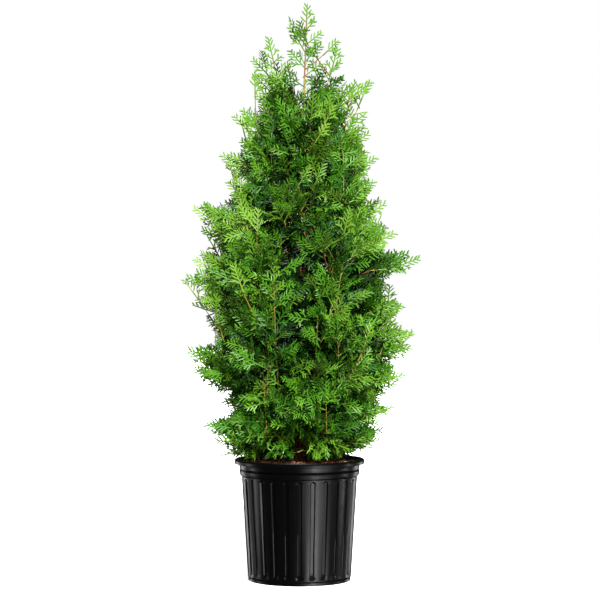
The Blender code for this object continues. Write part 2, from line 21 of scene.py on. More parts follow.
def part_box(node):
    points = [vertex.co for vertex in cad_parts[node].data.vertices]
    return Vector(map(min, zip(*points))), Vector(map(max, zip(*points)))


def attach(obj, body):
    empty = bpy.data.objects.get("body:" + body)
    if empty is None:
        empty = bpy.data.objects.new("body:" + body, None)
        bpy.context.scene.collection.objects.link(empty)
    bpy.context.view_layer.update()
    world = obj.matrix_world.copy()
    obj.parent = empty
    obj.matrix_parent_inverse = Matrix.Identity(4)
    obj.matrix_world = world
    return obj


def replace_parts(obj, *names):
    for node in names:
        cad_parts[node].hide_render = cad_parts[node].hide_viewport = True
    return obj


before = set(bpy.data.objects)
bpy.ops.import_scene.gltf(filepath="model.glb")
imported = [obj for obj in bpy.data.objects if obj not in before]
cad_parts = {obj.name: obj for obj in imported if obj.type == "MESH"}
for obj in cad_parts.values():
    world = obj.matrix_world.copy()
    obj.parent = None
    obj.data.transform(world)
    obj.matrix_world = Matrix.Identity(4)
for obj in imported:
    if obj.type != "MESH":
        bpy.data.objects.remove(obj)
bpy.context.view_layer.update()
POT_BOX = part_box("pot")
SOIL_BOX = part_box("soil")
TRUNK_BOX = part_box("trunk")

bl_info = {
    "name": "Potted Arborvitae",
    "version": (1, 0, 0),
    "blender": (4, 5, 0),
    "location": "3D View > Sidebar > Arborvitae",
    "description": "Builds a young arborvitae with a full, ascending crown in a ribbed nursery pot",
    "category": "Add Mesh",
}

BODY = "root"
GAP = 0.0003
SEED = 100
UP = Vector((0.0, 0.0, 1.0))
VIEW_AXIS = Vector((0.0, 1.0, 0.0))
FRONT = -math.pi / 2
TINY = 1e-6
# Places of a mix node's colour sockets, which share their names with its other sockets
COLOUR_A = 6
COLOUR_B = 7
COLOUR_RESULT = 2


# Colours and shader nodes

def linear(hex_colour):
    """Return an sRGB hex colour as linear red, green, blue and alpha."""
    value = int(hex_colour.lstrip("#"), 16)
    channels = [(value >> shift & 255) / 255 for shift in (16, 8, 0)]
    return (*(c / 12.92 if c <= 0.04045 else ((c + 0.055) / 1.055) ** 2.4 for c in channels), 1.0)


def feed(node, links):
    """Link sockets to a node's inputs."""
    for name, socket in links.items():
        node.id_data.links.new(socket, node.inputs[name])


def add_node(tree, kind, values=None, links=None, **settings):
    """Add a node with the values of its free inputs, the sockets linked to the others and its settings."""
    made = tree.nodes.new(kind)
    for name, value in settings.items():
        setattr(made, name, value)
    for name, value in (values or {}).items():
        made.inputs[name].default_value = value
    feed(made, links or {})
    return made


def principled(name, colour, roughness, ior=1.45):
    """Return a material with one Principled shader, and that shader."""
    material = bpy.data.materials.new(name)
    material.use_nodes = True
    shader = material.node_tree.nodes["Principled BSDF"]
    shader.inputs["Base Color"].default_value = colour
    shader.inputs["Roughness"].default_value = roughness
    shader.inputs["IOR"].default_value = ior
    return material, shader


def set_steps(ramp, steps):
    """Give a colour ramp its (position, colour) steps."""
    elements = ramp.color_ramp.elements
    while len(elements) < len(steps):
        elements.new(0.5)
    for element, (position, colour) in zip(elements, steps):
        element.position = position
        element.color = colour


def moulded_polyethylene(settings):
    """Black polyethylene, injection moulded: near black, with a satin sheen from its fine orange peel."""
    material, shader = principled("moulded_polyethylene", settings.colour, settings.roughness, ior=1.51)
    shader.inputs["Specular IOR Level"].default_value = 0.4
    tree = material.node_tree
    place = add_node(tree, "ShaderNodeTexCoord").outputs["Object"]
    # Orange peel about 1 mm across, as coarse as it needs to show
    peel = add_node(tree, "ShaderNodeTexNoise", {"Scale": 900.0, "Detail": 2.0}, {"Vector": place})
    sizes = {"Strength": 0.12, "Distance": 0.0003}
    bump = add_node(tree, "ShaderNodeBump", sizes, {"Height": peel.outputs["Fac"]})
    # Handling marks some 30 mm long make the sheen uneven
    stretch = add_node(tree, "ShaderNodeMapping", {"Scale": (1.0, 1.0, 0.25)}, {"Vector": place})
    sizes = {"Scale": 120.0, "Detail": 4.0}
    marks = add_node(tree, "ShaderNodeTexNoise", sizes, {"Vector": stretch.outputs["Vector"]})
    ends = {"To Min": settings.roughness - 0.06, "To Max": settings.roughness + 0.08}
    gloss = add_node(tree, "ShaderNodeMapRange", ends, {"Value": marks.outputs["Fac"]})
    feed(shader, {"Normal": bump.outputs["Normal"], "Roughness": gloss.outputs["Result"]})
    return material


def bark_mulch(name, dark, light):
    """Shredded pine bark, damp: dull reddish brown with paler torn fibres along each chip."""
    material, shader = principled(name, dark, 0.85)
    tree = material.node_tree
    place = add_node(tree, "ShaderNodeTexCoord").outputs["Object"]
    # Torn fibres about 2 mm across
    fibre = add_node(tree, "ShaderNodeTexNoise", {"Scale": 450.0, "Detail": 5.0}, {"Vector": place})
    ramp = add_node(tree, "ShaderNodeValToRGB", links={"Fac": fibre.outputs["Fac"]})
    set_steps(ramp, ((0.35, dark), (0.70, light)))
    sizes = {"Strength": 0.5, "Distance": 0.0006}
    bump = add_node(tree, "ShaderNodeBump", sizes, {"Height": fibre.outputs["Fac"]})
    feed(shader, {"Base Color": ramp.outputs["Color"], "Normal": bump.outputs["Normal"]})
    return material


def stringy_bark(settings):
    """Thin fibrous bark: matt, in long upright strings, orange-tan at the foot and browner higher up."""
    material, shader = principled("stringy_bark", settings.brown, 0.8)
    tree = material.node_tree
    place = add_node(tree, "ShaderNodeTexCoord").outputs["Object"]
    # Strings about 2 mm wide and 25 mm long
    stretch = add_node(tree, "ShaderNodeMapping", {"Scale": (450.0, 450.0, 40.0)}, {"Vector": place})
    sizes = {"Scale": 1.0, "Detail": 4.0}
    strings = add_node(tree, "ShaderNodeTexNoise", sizes, {"Vector": stretch.outputs["Vector"]})
    ramp = add_node(tree, "ShaderNodeValToRGB", links={"Fac": strings.outputs["Fac"]})
    set_steps(ramp, ((0.32, linear("#2c1a10")), (0.50, settings.brown), (0.72, settings.tan)))
    height = add_node(tree, "ShaderNodeSeparateXYZ", links={"Vector": place})
    ends = {"From Min": YOUNG_BARK, "From Max": TRUNK_TIP}
    young = add_node(tree, "ShaderNodeMapRange", ends, {"Value": height.outputs["Z"]})
    links = {"Factor": young.outputs["Result"], COLOUR_A: ramp.outputs["Color"]}
    mixed = add_node(tree, "ShaderNodeMix", {COLOUR_B: settings.young}, links, data_type="RGBA")
    sizes = {"Strength": 0.6, "Distance": 0.0005}
    bump = add_node(tree, "ShaderNodeBump", sizes, {"Height": strings.outputs["Fac"]})
    feed(shader, {"Base Color": mixed.outputs[COLOUR_RESULT], "Normal": bump.outputs["Normal"]})
    return material


def twig_bark(name, colour):
    """Smooth young bark: plain, with a faint sheen."""
    return principled(name, colour, 0.6)[0]


def shaded_scale_leaf(name, colour):
    """Overlapping scale leaves under a thin wax, with a soft sheen: one green a spray, from greens that carry
    painted shade.
    """
    material, shader = principled(name, colour, 0.50)
    shader.inputs["Specular IOR Level"].default_value = 0.4
    return material


# Meshes

def join_meshes(parts):
    """Join (points, triangles) pairs into one pair."""
    starts = np.cumsum([0] + [len(points) for points, _ in parts])
    triangles = [part_triangles + start for (_, part_triangles), start in zip(parts, starts)]
    return np.concatenate([points for points, _ in parts]), np.concatenate(triangles)


def face_values(parts, values):
    """Return each part's value once for each of its triangles."""
    return np.concatenate([np.full(len(triangles), value) for (_, triangles), value in zip(parts, values)])


def add_piece(name, points, triangles, materials, slot, sharp=None, indices=None):
    """Make a piece that rides on the body; sharp is the angle, in degrees, from which an edge stays sharp."""
    mesh = bpy.data.meshes.new(name)
    mesh.from_pydata(points, [], triangles)
    for material in materials:
        mesh.materials.append(material)
    if indices is not None:
        mesh.polygons.foreach_set("material_index", indices)
    if sharp is not None:
        mesh.shade_smooth()
        mesh.set_sharp_from_angle(angle=math.radians(sharp))
    piece = bpy.data.objects.new(name, mesh)
    bpy.context.scene.collection.objects.link(piece)
    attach(piece, BODY)
    return piece


def closed_rings(grid):
    """Return a closed mesh through a grid of points: rings by sides, with a fan over each end."""
    rings, sides = grid.shape[:2]
    points = np.concatenate([grid.reshape(-1, 3), [grid[0].mean(0), grid[-1].mean(0)]])
    numbers = np.arange(rings * sides).reshape(rings, sides)
    after = np.roll(numbers, -1, 1)
    low, low_next, high, high_next = numbers[:-1], after[:-1], numbers[1:], after[1:]
    centres = np.full((2, sides), [[rings * sides], [rings * sides + 1]])
    corners = (
        (low, low_next, high_next),
        (low, high_next, high),
        (centres[0], after[0], numbers[0]),
        (centres[1], numbers[-1], after[-1]),
    )
    return points, np.concatenate([np.stack(three, -1).reshape(-1, 3) for three in corners])


def tube(points, radii, side_axis, sides):
    """Return a closed tube along points; radii has one radius for each station or for each of its corners."""
    points = np.array(points)
    tangents = np.gradient(points, axis=0)
    tangents /= np.linalg.norm(tangents, axis=1)[:, None]
    side_axis = np.array(side_axis)
    across = side_axis - tangents * (tangents @ side_axis)[:, None]
    across /= np.linalg.norm(across, axis=1)[:, None]
    up = np.cross(tangents, across)
    angles = 2 * np.pi * np.arange(sides) / sides
    spokes = across[:, None] * np.cos(angles)[None, :, None] + up[:, None] * np.sin(angles)[None, :, None]
    radii = np.array(radii).reshape(len(points), -1, 1)
    return closed_rings(points[:, None] + spokes * radii)


# Pot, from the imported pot's box and the sizes of its mouldings

POT_HEIGHT = POT_BOX[1][2]
LIP_RADIUS = (POT_BOX[1][0] - POT_BOX[0][0]) / 2
LIP_HEIGHT = 0.011
LIP_WIDTH = 0.0095
LIP_ROUND = 0.0030
MOUTH_DEPTH = 0.0065
COLLAR_RADIUS = 0.1270
COLLAR_HEIGHT = 0.006
GROOVE_RADIUS = 0.1245
RING_RADIUS = 0.1267
RING_BOTTOM = 0.2215
RING_HEIGHT = 0.0115
BEAD_HEIGHT = 0.0030
BEAD_STEP = 0.0009
BODY_TOP_RADIUS = 0.1220
BODY_TOP = 0.2190
BODY_FOOT_RADIUS = 0.1090
FOOT_HEIGHT = 0.0080
FOOT_INSET = 0.0012
WALL = 0.0032
FLOOR = 0.0030
CHANNEL_BOTTOM = 0.0105
CHANNEL_TOP = 0.2165
CHANNEL_HEAD = 0.008
CHANNEL_EDGE = 0.36
CHANNEL_FADE = 0.012
CHANNEL_STEPS = 12
LAND_STEPS = 3
CHANNEL_END_STEPS = 12
BODY_STEPS = 20
MOULD_ROUND = 0.0016
ROUND_STEPS = 4


def body_radius(height):
    """Return the pot body's outer radius at a height."""
    share = (height - FOOT_HEIGHT) / (BODY_TOP - FOOT_HEIGHT)
    return BODY_FOOT_RADIUS + (BODY_TOP_RADIUS - BODY_FOOT_RADIUS) * share


def rounded(outline):
    """Round an outline's inner corners with short curves."""
    made = [outline[0]]
    for points in zip(outline, outline[1:], outline[2:]):
        before, corner, after = map(Vector, points)
        reach_in = min(MOULD_ROUND, (before - corner).length / 2)
        reach_out = min(MOULD_ROUND, (after - corner).length / 2)
        start = corner + (before - corner).normalized() * reach_in
        end = corner + (after - corner).normalized() * reach_out
        for step in range(ROUND_STEPS + 1):
            share = step / ROUND_STEPS
            made.append(tuple(start.lerp(corner, share).lerp(corner.lerp(end, share), share)))
    return made + [outline[-1]]


def body_heights():
    """Return the heights of the body's rings, close together where the channels end."""
    fade_top = CHANNEL_BOTTOM + CHANNEL_FADE
    head_foot = CHANNEL_TOP - CHANNEL_HEAD
    foot = np.linspace(CHANNEL_BOTTOM, fade_top, CHANNEL_END_STEPS)
    middle = np.linspace(fade_top, head_foot, BODY_STEPS)[1:-1]
    return np.concatenate([foot, middle, np.linspace(head_foot, CHANNEL_TOP, CHANNEL_END_STEPS)])


def pot_angles(settings):
    """Return the pot's angles, close together across each channel, and each one's place across it."""
    half = settings.channel_width / 2 / BODY_TOP_RADIUS
    pitch = 2 * math.pi / settings.channels
    across = np.linspace(-half, half, CHANNEL_STEPS + 1)
    land = np.linspace(half, pitch - half, LAND_STEPS + 1)[1:-1]
    offsets = np.concatenate([across, land])
    middles = FRONT + pitch * np.arange(settings.channels)
    return (middles[:, None] + offsets[None, :]).ravel(), np.tile(offsets, settings.channels)


def channel_depths(height, radius, offsets, settings):
    """Return how deep each angle lies in its channel, which is round at its top and fades out below."""
    half = settings.channel_width / 2
    along = max(height - CHANNEL_TOP + half, 0.0)
    inward = 1 - np.hypot(offsets * radius, along) / half
    share = np.clip(inward / CHANNEL_EDGE, 0.0, 1.0)
    fade = min((height - CHANNEL_BOTTOM) / CHANNEL_FADE, 1.0)
    return settings.channel_depth * fade * share**2 * (3 - 2 * share)


def pot_profile():
    """Return the pot's (radius, height) outline above the body, over the lip and down the inside."""
    ring_top = RING_BOTTOM + RING_HEIGHT
    lip_bottom = POT_HEIGHT - LIP_HEIGHT
    return rounded([
        (BODY_TOP_RADIUS, BODY_TOP),
        (RING_RADIUS - BEAD_STEP, RING_BOTTOM),
        (RING_RADIUS - BEAD_STEP, RING_BOTTOM + BEAD_HEIGHT),
        (RING_RADIUS, RING_BOTTOM + BEAD_HEIGHT),
        (RING_RADIUS, ring_top - BEAD_STEP),
        (GROOVE_RADIUS, ring_top),
        (GROOVE_RADIUS, ring_top + BEAD_STEP),
        (COLLAR_RADIUS, ring_top + 2 * BEAD_STEP),
        (COLLAR_RADIUS, ring_top + COLLAR_HEIGHT),
        (COLLAR_RADIUS + BEAD_STEP, lip_bottom + BEAD_STEP),
        (LIP_RADIUS - BEAD_STEP, lip_bottom),
        (LIP_RADIUS, lip_bottom + BEAD_STEP),
        (LIP_RADIUS, POT_HEIGHT - LIP_ROUND),
        (LIP_RADIUS - LIP_ROUND, POT_HEIGHT),
        (LIP_RADIUS - LIP_WIDTH, POT_HEIGHT - BEAD_STEP),
        (GROOVE_RADIUS, POT_HEIGHT - MOUTH_DEPTH),
        (BODY_TOP_RADIUS - WALL, BODY_TOP),
        (body_radius(FLOOR) - WALL, FLOOR),
    ])


def make_pot(settings):
    """Make the pot: foot, channelled wall, bead ring, collar, rolled lip, inside and floor."""
    angles, offsets = pot_angles(settings)
    foot_radius = BODY_FOOT_RADIUS - FOOT_INSET
    foot = [(foot_radius, 0.0), (foot_radius, FOOT_HEIGHT - FOOT_INSET), (BODY_FOOT_RADIUS, FOOT_HEIGHT)]
    rings = [(radius, height, 0.0) for radius, height in rounded(foot)]
    for height in body_heights():
        radius = body_radius(height)
        rings.append((radius, height, channel_depths(height, radius, offsets, settings)))
    rings += [(radius, height, 0.0) for radius, height in pot_profile()]
    grid = []
    for radius, height, depth in rings:
        reach = radius - depth
        level = np.full(len(angles), height)
        grid.append(np.stack([reach * np.cos(angles), reach * np.sin(angles), level], -1))
    mesh = closed_rings(np.array(grid))
    pot = add_piece("nursery_pot", *mesh, [moulded_polyethylene(settings)], "pot", sharp=50.0)
    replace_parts(pot, "pot")


# Mulch: a heap that fills the pot, with loose chips on it

SOIL_HEAP = SOIL_BOX[1][2]
SOIL_EDGE = 0.2490
SOIL_RINGS = 56
SOIL_SIDES = 180
HEAP_SPREAD = 0.045
MULCH_GRAIN = 0.016
MULCH_SINK = 0.0012
MULCH_RELIEF = 0.0011
CHIP_LENGTH = (0.005, 0.016)
CHIP_WIDTH = (0.0025, 0.0065)
CHIP_THICKNESS = (0.0010, 0.0022)
CHIP_CORNER = (0.7, 1.1)
CHIP_TILT = 0.28
CHIP_LIFT = 0.0012
CHIP_INSET = 0.009
CHIP_SPREAD = (0.02, 1.0)
CHIP_KINDS = (0, 0, 1, 1, 2, 3)
CHIP_TRIANGLES = np.array([
    (0, 1, 3), (0, 3, 2), (4, 6, 7), (4, 7, 5), (0, 4, 5), (0, 5, 1),
    (2, 3, 7), (2, 7, 6), (0, 2, 6), (0, 6, 4), (1, 5, 7), (1, 7, 3),
])


def soil_height(x, y):
    """Return the mulch's height at a place: a low heap at the trunk, uneven all over."""
    heap = SOIL_EDGE + (SOIL_HEAP - SOIL_EDGE) * math.exp(-((math.hypot(x, y) / HEAP_SPREAD) ** 2))
    return heap - MULCH_SINK + MULCH_RELIEF * noise.fractal(Vector((x, y, 0.0)) / MULCH_GRAIN, 1.0, 2.0, 4)


def make_mulch(settings):
    """Make the body of mulch that fills the pot, with an uneven top, and return the top's radius."""
    share = (SOIL_EDGE - BODY_TOP) / (POT_HEIGHT - MOUTH_DEPTH - BODY_TOP)
    wall_radius = BODY_TOP_RADIUS - WALL + (GROOVE_RADIUS - BODY_TOP_RADIUS + WALL) * share
    top_radius = wall_radius - 2 * GAP
    turns = [(math.cos(angle), math.sin(angle)) for angle in 2 * math.pi * np.arange(SOIL_SIDES) / SOIL_SIDES]
    grid = []
    for radius, height in ((body_radius(FLOOR), FLOOR + GAP), (BODY_TOP_RADIUS, BODY_TOP)):
        reach = radius - WALL - 2 * GAP
        grid.append([(reach * right, reach * back, height) for right, back in turns])
    for step in range(SOIL_RINGS):
        radius = top_radius * (1 - step / SOIL_RINGS)
        ring = [(radius * right, radius * back) for right, back in turns]
        grid.append([(x, y, soil_height(x, y)) for x, y in ring])
    base = bark_mulch("damp_mulch", settings.dark, settings.brown)
    soil = add_piece("mulch_bed", *closed_rings(np.array(grid)), [base], "mulch", sharp=60.0)
    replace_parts(soil, "soil")
    return top_radius


def chip_points(place, draw):
    """Return the eight corners of one torn chip of bark."""
    length, width, thickness = (draw.uniform(*size) for size in (CHIP_LENGTH, CHIP_WIDTH, CHIP_THICKNESS))
    turn = Matrix.Rotation(draw.uniform(0, 2 * math.pi), 3, "Z")
    lean, pitch = (Matrix.Rotation(draw.gauss(0, CHIP_TILT), 3, axis) for axis in "XY")
    turn = turn @ (lean @ pitch)
    corners = []
    for up, along, over in itertools.product((-1, 1), repeat=3):
        corner = Vector((along * length, over * width, up * thickness)) / 2
        corners.append(place + turn @ (corner * draw.uniform(*CHIP_CORNER)))
    return np.array(corners)


def make_chips(settings, top_radius):
    """Scatter bark chips on the mulch, in a few browns."""
    draw = random.Random(SEED)
    parts, kinds = [], []
    for _ in range(settings.chips):
        radius = math.sqrt(draw.uniform(*CHIP_SPREAD)) * (top_radius - CHIP_INSET)
        angle = draw.uniform(0, 2 * math.pi)
        x, y = radius * math.cos(angle), radius * math.sin(angle)
        place = Vector((x, y, soil_height(x, y) + draw.uniform(0.0, CHIP_LIFT)))
        parts.append((chip_points(place, draw), CHIP_TRIANGLES))
        kinds.append(draw.choice(CHIP_KINDS))
    browns = [
        bark_mulch("chip_brown", settings.brown, settings.tan),
        bark_mulch("chip_red", settings.red, settings.tan),
        bark_mulch("chip_dark", settings.dark, settings.red),
        bark_mulch("chip_pale", settings.tan, settings.pale),
    ]
    add_piece("mulch_chips", *join_meshes(parts), browns, "mulch", indices=face_values(parts, kinds))


# Centre lines, as in the part's source: each tier's tips follow the crown's outline on the left and the right

TRUNK_FOOT = TRUNK_BOX[0][2]
TRUNK_TIP = TRUNK_BOX[1][2]
TRUNK_FOOT_RADIUS = 0.0086
TRUNK_TIP_RADIUS = 0.0019
TRUNK_TAPER = 1.7
FLARE_RADIUS = 0.0026
FLARE_HEIGHT = 0.0140
LEADER_TIP = 1.2190
LEADER_SPRAYS = 4
LEAN = 0.0155
SWAY = 0.0018
SWAY_TURNS = 1.4
Tier = namedtuple(
    "Tier",
    "name count azimuth start left_height left_reach right_height right_reach"
    " limb radius bend_out bend_up sprays",
)
TIERS = (
    Tier("lowest", 6, -8.0, 0.277, 0.322, 0.207, 0.338, 0.210, 0.20, 0.0023, 0.50, 0.80, 7),
    Tier("lower", 6, 6.0, 0.303, 0.480, 0.246, 0.515, 0.252, 0.30, 0.0029, 0.56, 0.46, 5),
    Tier("middle", 6, -3.0, 0.345, 0.640, 0.254, 0.680, 0.270, 0.38, 0.0034, 0.56, 0.42, 5),
    Tier("upper", 5, 18.0, 0.430, 0.785, 0.240, 0.815, 0.212, 0.42, 0.0032, 0.56, 0.40, 5),
    Tier("shoulder", 4, -10.0, 0.640, 0.890, 0.196, 0.920, 0.190, 0.0, 0.0024, 0.56, 0.42, 5),
    Tier("high", 4, 10.0, 0.780, 1.055, 0.135, 1.055, 0.158, 0.0, 0.0020, 0.56, 0.40, 4),
    Tier("top", 2, 0.0, 0.925, 1.158, 0.070, 1.140, 0.084, 0.0, 0.0018, 0.62, 0.36, 4),
)
AZIMUTH_SCATTER = math.radians(6.0)
HEIGHT_SCATTER = 0.012
REACH_SCATTER = 0.04
START_SCATTER = 0.012
LINE_STEPS = 4
CURVE_STEPS = 60
Branch = namedtuple("Branch", "name foot bend tip side radius limb sprays seed", defaults=(0.0, 0, 0))


def trunk_point(height):
    """Return the trunk's middle at a height: a lean that grows to the tip, with a slow sway."""
    share = (height - TRUNK_FOOT) / (LEADER_TIP - TRUNK_FOOT)
    turn = 2 * math.pi * SWAY_TURNS * share
    return Vector((LEAN * share**3 + SWAY * math.sin(turn), SWAY * (math.cos(turn) - 1), height))


def trunk_radius(height):
    """Return the trunk's radius at a height, with the root flare at its foot."""
    share = (height - TRUNK_FOOT) / (TRUNK_TIP - TRUNK_FOOT)
    taper = TRUNK_TIP_RADIUS + (TRUNK_FOOT_RADIUS - TRUNK_TIP_RADIUS) * (1 - share) ** TRUNK_TAPER
    return taper + FLARE_RADIUS * math.exp(-(height - TRUNK_FOOT) / FLARE_HEIGHT)


def outward_at(azimuth):
    """Return the level direction at an azimuth."""
    return Vector((math.cos(azimuth), math.sin(azimuth), 0.0))


def outward_from(point):
    """Return the level direction from the pot's middle line to a point."""
    return Vector((point.x, point.y, 0.0)).normalized()


def branch_point(branch, share):
    """Return the point at a share of a branch's curve, from its foot in the trunk to its tip."""
    rest = 1 - share
    return branch.foot * rest**2 + branch.bend * (2 * rest * share) + branch.tip * share**2


def branch_tangent(branch, share):
    """Return the unit direction of a branch's curve at a share of it."""
    run = (branch.bend - branch.foot) * (1 - share) + (branch.tip - branch.bend) * share
    return run.normalized()


def branch_line(branch, first=0.0, last=1.0, steps=CURVE_STEPS):
    """Return points in equal steps between two shares of a branch's curve."""
    return [branch_point(branch, first + (last - first) * step / steps) for step in range(steps + 1)]


def branch_length(branch):
    """Return the length of a branch's curve."""
    return sum((after - before).length for before, after in itertools.pairwise(branch_line(branch)))


def curve_share(branch, distance_from_tip):
    """Return the share of the curve that lies the given distance before the tip."""
    line = branch_line(branch)
    length = 0.0
    for step in range(CURVE_STEPS - 1, -1, -1):
        length += (line[step + 1] - line[step]).length
        if length >= distance_from_tip:
            return step / CURVE_STEPS
    return 0.0


def tier_branches(index, tier):
    """Return a tier's branches, spaced evenly round the trunk with a seeded scatter."""
    draw = random.Random(SEED + index)
    branches = []
    for number in range(tier.count):
        azimuth = math.radians(tier.azimuth + 360.0 * number / tier.count)
        azimuth += draw.uniform(-AZIMUTH_SCATTER, AZIMUTH_SCATTER)
        right = (1 + math.cos(azimuth)) / 2
        reach = tier.left_reach + (tier.right_reach - tier.left_reach) * right
        height = tier.left_height + (tier.right_height - tier.left_height) * right
        reach *= 1 - REACH_SCATTER * draw.random()
        height += draw.uniform(-HEIGHT_SCATTER, HEIGHT_SCATTER)
        foot = trunk_point(tier.start + START_SCATTER * (number % 3))
        tip = outward_at(azimuth) * reach + UP * height
        bend = foot.lerp(tip, tier.bend_out)
        bend.z = foot.z + (tip.z - foot.z) * tier.bend_up
        side = (tip - foot).cross(UP).normalized()
        name = f"{tier.name}_{number + 1}"
        seed = 10 * (SEED + index) + number
        branches.append(Branch(name, foot, bend, tip, side, tier.radius, tier.limb, tier.sprays, seed))
    return branches


def top_shoot(foot_height, **more):
    """Return the leader from a height on the trunk to its tip."""
    foot, tip = trunk_point(foot_height), trunk_point(LEADER_TIP)
    return Branch("leader", foot, foot.lerp(tip, 0.5), tip, VIEW_AXIS, TRUNK_TIP_RADIUS, **more)


def all_branches():
    """Return every tier's branches and the leader, which goes on from the trunk's tip."""
    branches = [branch for index, tier in enumerate(TIERS) for branch in tier_branches(index, tier)]
    return branches + [top_shoot(TRUNK_TIP + GAP, sprays=LEADER_SPRAYS, seed=SEED)]


def tier_name(branch):
    """Return the name of the tier that a branch belongs to."""
    return branch.name.split("_")[0]


# The source's sprays, and the space kept by each mass

STEM_BARE = 0.12
TWIG_LENGTH = (0.015, 0.045)
TWIG_SPLAY = (math.radians(30.0), math.radians(75.0))
ROLL_SCATTER = 1.3
TWIG_CLEAR = 0.004
SPRAY_LENGTH = (0.115, 0.152)
SPRAY_WIDTH_SHARE = 0.60
SPRAY_ROOT = 0.006
SPRAY_LIFT = 0.35
END_SPRAY = 0.124
PETIOLE_HALF_WIDTH = 0.0013
PETIOLE = 0.014
TEETH = 3
TOOTH_ANGLE = math.radians(47.0)
TOOTH_REACH = 1.25
TOOTH_TAPER = 0.8
NOTCH_HALF_WIDTH = 0.0048
NOTCH_SHARE = 0.95
STEEP = 0.9
TRIES = 90
SHORTEST = 0.50
SPRAY_ROOM = 0.0016
CELL_GAP = 0.0045
LIMB_GAP = 0.0035
LIMB_OWNER = -1
TRUNK_STEPS = 30
CROWN_FLOOR = 0.2605
CROWN_FLOOR_REACH = 0.175
LEADER_REACH = 0.020
END_SLACK = 0.006
SIDE_SLACK = -0.009
Spray = namedtuple("Spray", "foot end root axis across length")


def outline_reach(heights, side):
    """Return the crown's reach at heights on the left or the right, read between the tiers' tips."""
    knots = [(getattr(tier, f"{side}_height"), getattr(tier, f"{side}_reach")) for tier in TIERS]
    knots = [(CROWN_FLOOR, CROWN_FLOOR_REACH), *knots, (LEADER_TIP, LEADER_REACH)]
    return np.interp(heights, *zip(*knots), right=0.0)


def inside_crown(points, slack):
    """Tell whether every point is inside the crown's outline, give or take slack, and above the pot."""
    radii = np.hypot(points[:, 0], points[:, 1]) + TINY
    right = (1 + points[:, 0] / radii) / 2
    reach = outline_reach(points[:, 2], "left") * (1 - right) + outline_reach(points[:, 2], "right") * right
    return points[:, 2].min() > CROWN_FLOOR and (radii < reach + slack).all()


def owned_segments(line, owner, radius):
    """Return the straight segments of a line that belong to one owner."""
    return [(start, end, owner, radius) for start, end in itertools.pairwise(line)]


class Spaces:
    """The lines of all masses and limbs, to which a spray's points are measured."""

    def __init__(self, branches):
        segments = []
        for number, branch in enumerate(branches):
            mass = branch_line(branch, max(branch.limb, STEM_BARE), 1.0, LINE_STEPS)
            segments += owned_segments(mass, number, 0.0)
            if branch.limb:
                limb = branch_line(branch, 0.0, branch.limb, LINE_STEPS)
                segments += owned_segments(limb, LIMB_OWNER, branch.radius)
        for low, high in itertools.pairwise(np.linspace(TRUNK_FOOT, TRUNK_TIP, TRUNK_STEPS)):
            segments.append((trunk_point(low), trunk_point(high), LIMB_OWNER, trunk_radius(low)))
        self.starts, self.ends, self.owners, self.radii = map(np.array, zip(*segments))

    def distances(self, points):
        """Return the distance from every point to every segment, as an array."""
        runs = self.ends - self.starts
        offsets = points[:, None, :] - self.starts[None, :, :]
        shares = np.clip((offsets * runs).sum(2) / (runs**2).sum(1), 0.0, 1.0)
        return np.linalg.norm(offsets - shares[:, :, None] * runs[None, :, :], axis=2)

    def fits(self, points, own, slack):
        """Tell whether every point keeps to the space of mass number own and clear of the limbs."""
        points = np.array(points)
        if not inside_crown(points, slack):
            return False
        distances = self.distances(points)
        limbs = self.owners == LIMB_OWNER
        if (distances[:, limbs] - self.radii[limbs]).min() < LIMB_GAP:
            return False
        near = distances[:, self.owners == own].min(1)
        others = distances[:, (self.owners != own) & ~limbs].min(1)
        return bool((others - near > CELL_GAP).all())


def spray_points(spray):
    """Return a toothed spray's outline in space, with teeth on alternate sides."""
    half_width = spray.length * SPRAY_WIDTH_SHARE / 2
    pitch = (spray.length - PETIOLE) / (TEETH + 1)
    sides = []
    for side, shift in ((1, 0.0), (-1, 0.5)):
        points = [(0.0, side * PETIOLE_HALF_WIDTH)]
        for tooth in range(TEETH):
            root = PETIOLE + (tooth + shift) * pitch
            reach = half_width * TOOTH_REACH * (1 - root / spray.length) ** TOOTH_TAPER
            points.append((root + reach / math.tan(TOOTH_ANGLE), side * reach))
            if tooth < TEETH - 1:
                points.append((root + NOTCH_SHARE * pitch, side * NOTCH_HALF_WIDTH))
        sides.append(points)
    outline = sides[0] + [(spray.length, 0.0)] + sides[1][::-1]
    return [spray.root + spray.axis * along + spray.across * over for along, over in outline]


def turned(direction, splay, roll):
    """Return a direction swung by splay away from itself, on the side that roll gives."""
    helper = UP if abs(direction.z) < STEEP else Vector((1.0, 0.0, 0.0))
    across = direction.cross(helper).normalized()
    across = Matrix.Rotation(roll, 3, direction) @ across
    return (Matrix.Rotation(splay, 3, across) @ direction).normalized()


def seated_spray(foot, end, axis, across, length):
    """Return a spray whose petiole sheathes the end of its twig."""
    return Spray(foot, end, end - axis * SPRAY_ROOT, axis, across, length)


def tip_spray(branch, distance):
    """Return the end of a stem that stops before a branch's tip, and the way and length on to the tip."""
    end = branch_point(branch, curve_share(branch, distance))
    return end, (branch.tip - end).normalized(), (branch.tip - end).length


def spray_tree(spray):
    """Return a search tree of a spray's blade, made thicker by the room that it keeps."""
    normal = spray.axis.cross(spray.across) * SPRAY_ROOM
    outline = spray_points(spray)
    count = len(outline)
    verts = [point + normal for point in outline] + [point - normal for point in outline]
    faces = [(at, (at + 1) % count, count + (at + 1) % count, count + at) for at in range(count)]
    faces += [tuple(range(count)), tuple(range(count, 2 * count))]
    if spray.foot != spray.end:
        clear = spray.foot + spray.axis * TWIG_CLEAR
        verts += [clear + normal, clear - normal]
        faces.append((2 * count, 2 * count + 1, count - 1, 0))
    return BVHTree.FromPolygons(verts, faces)


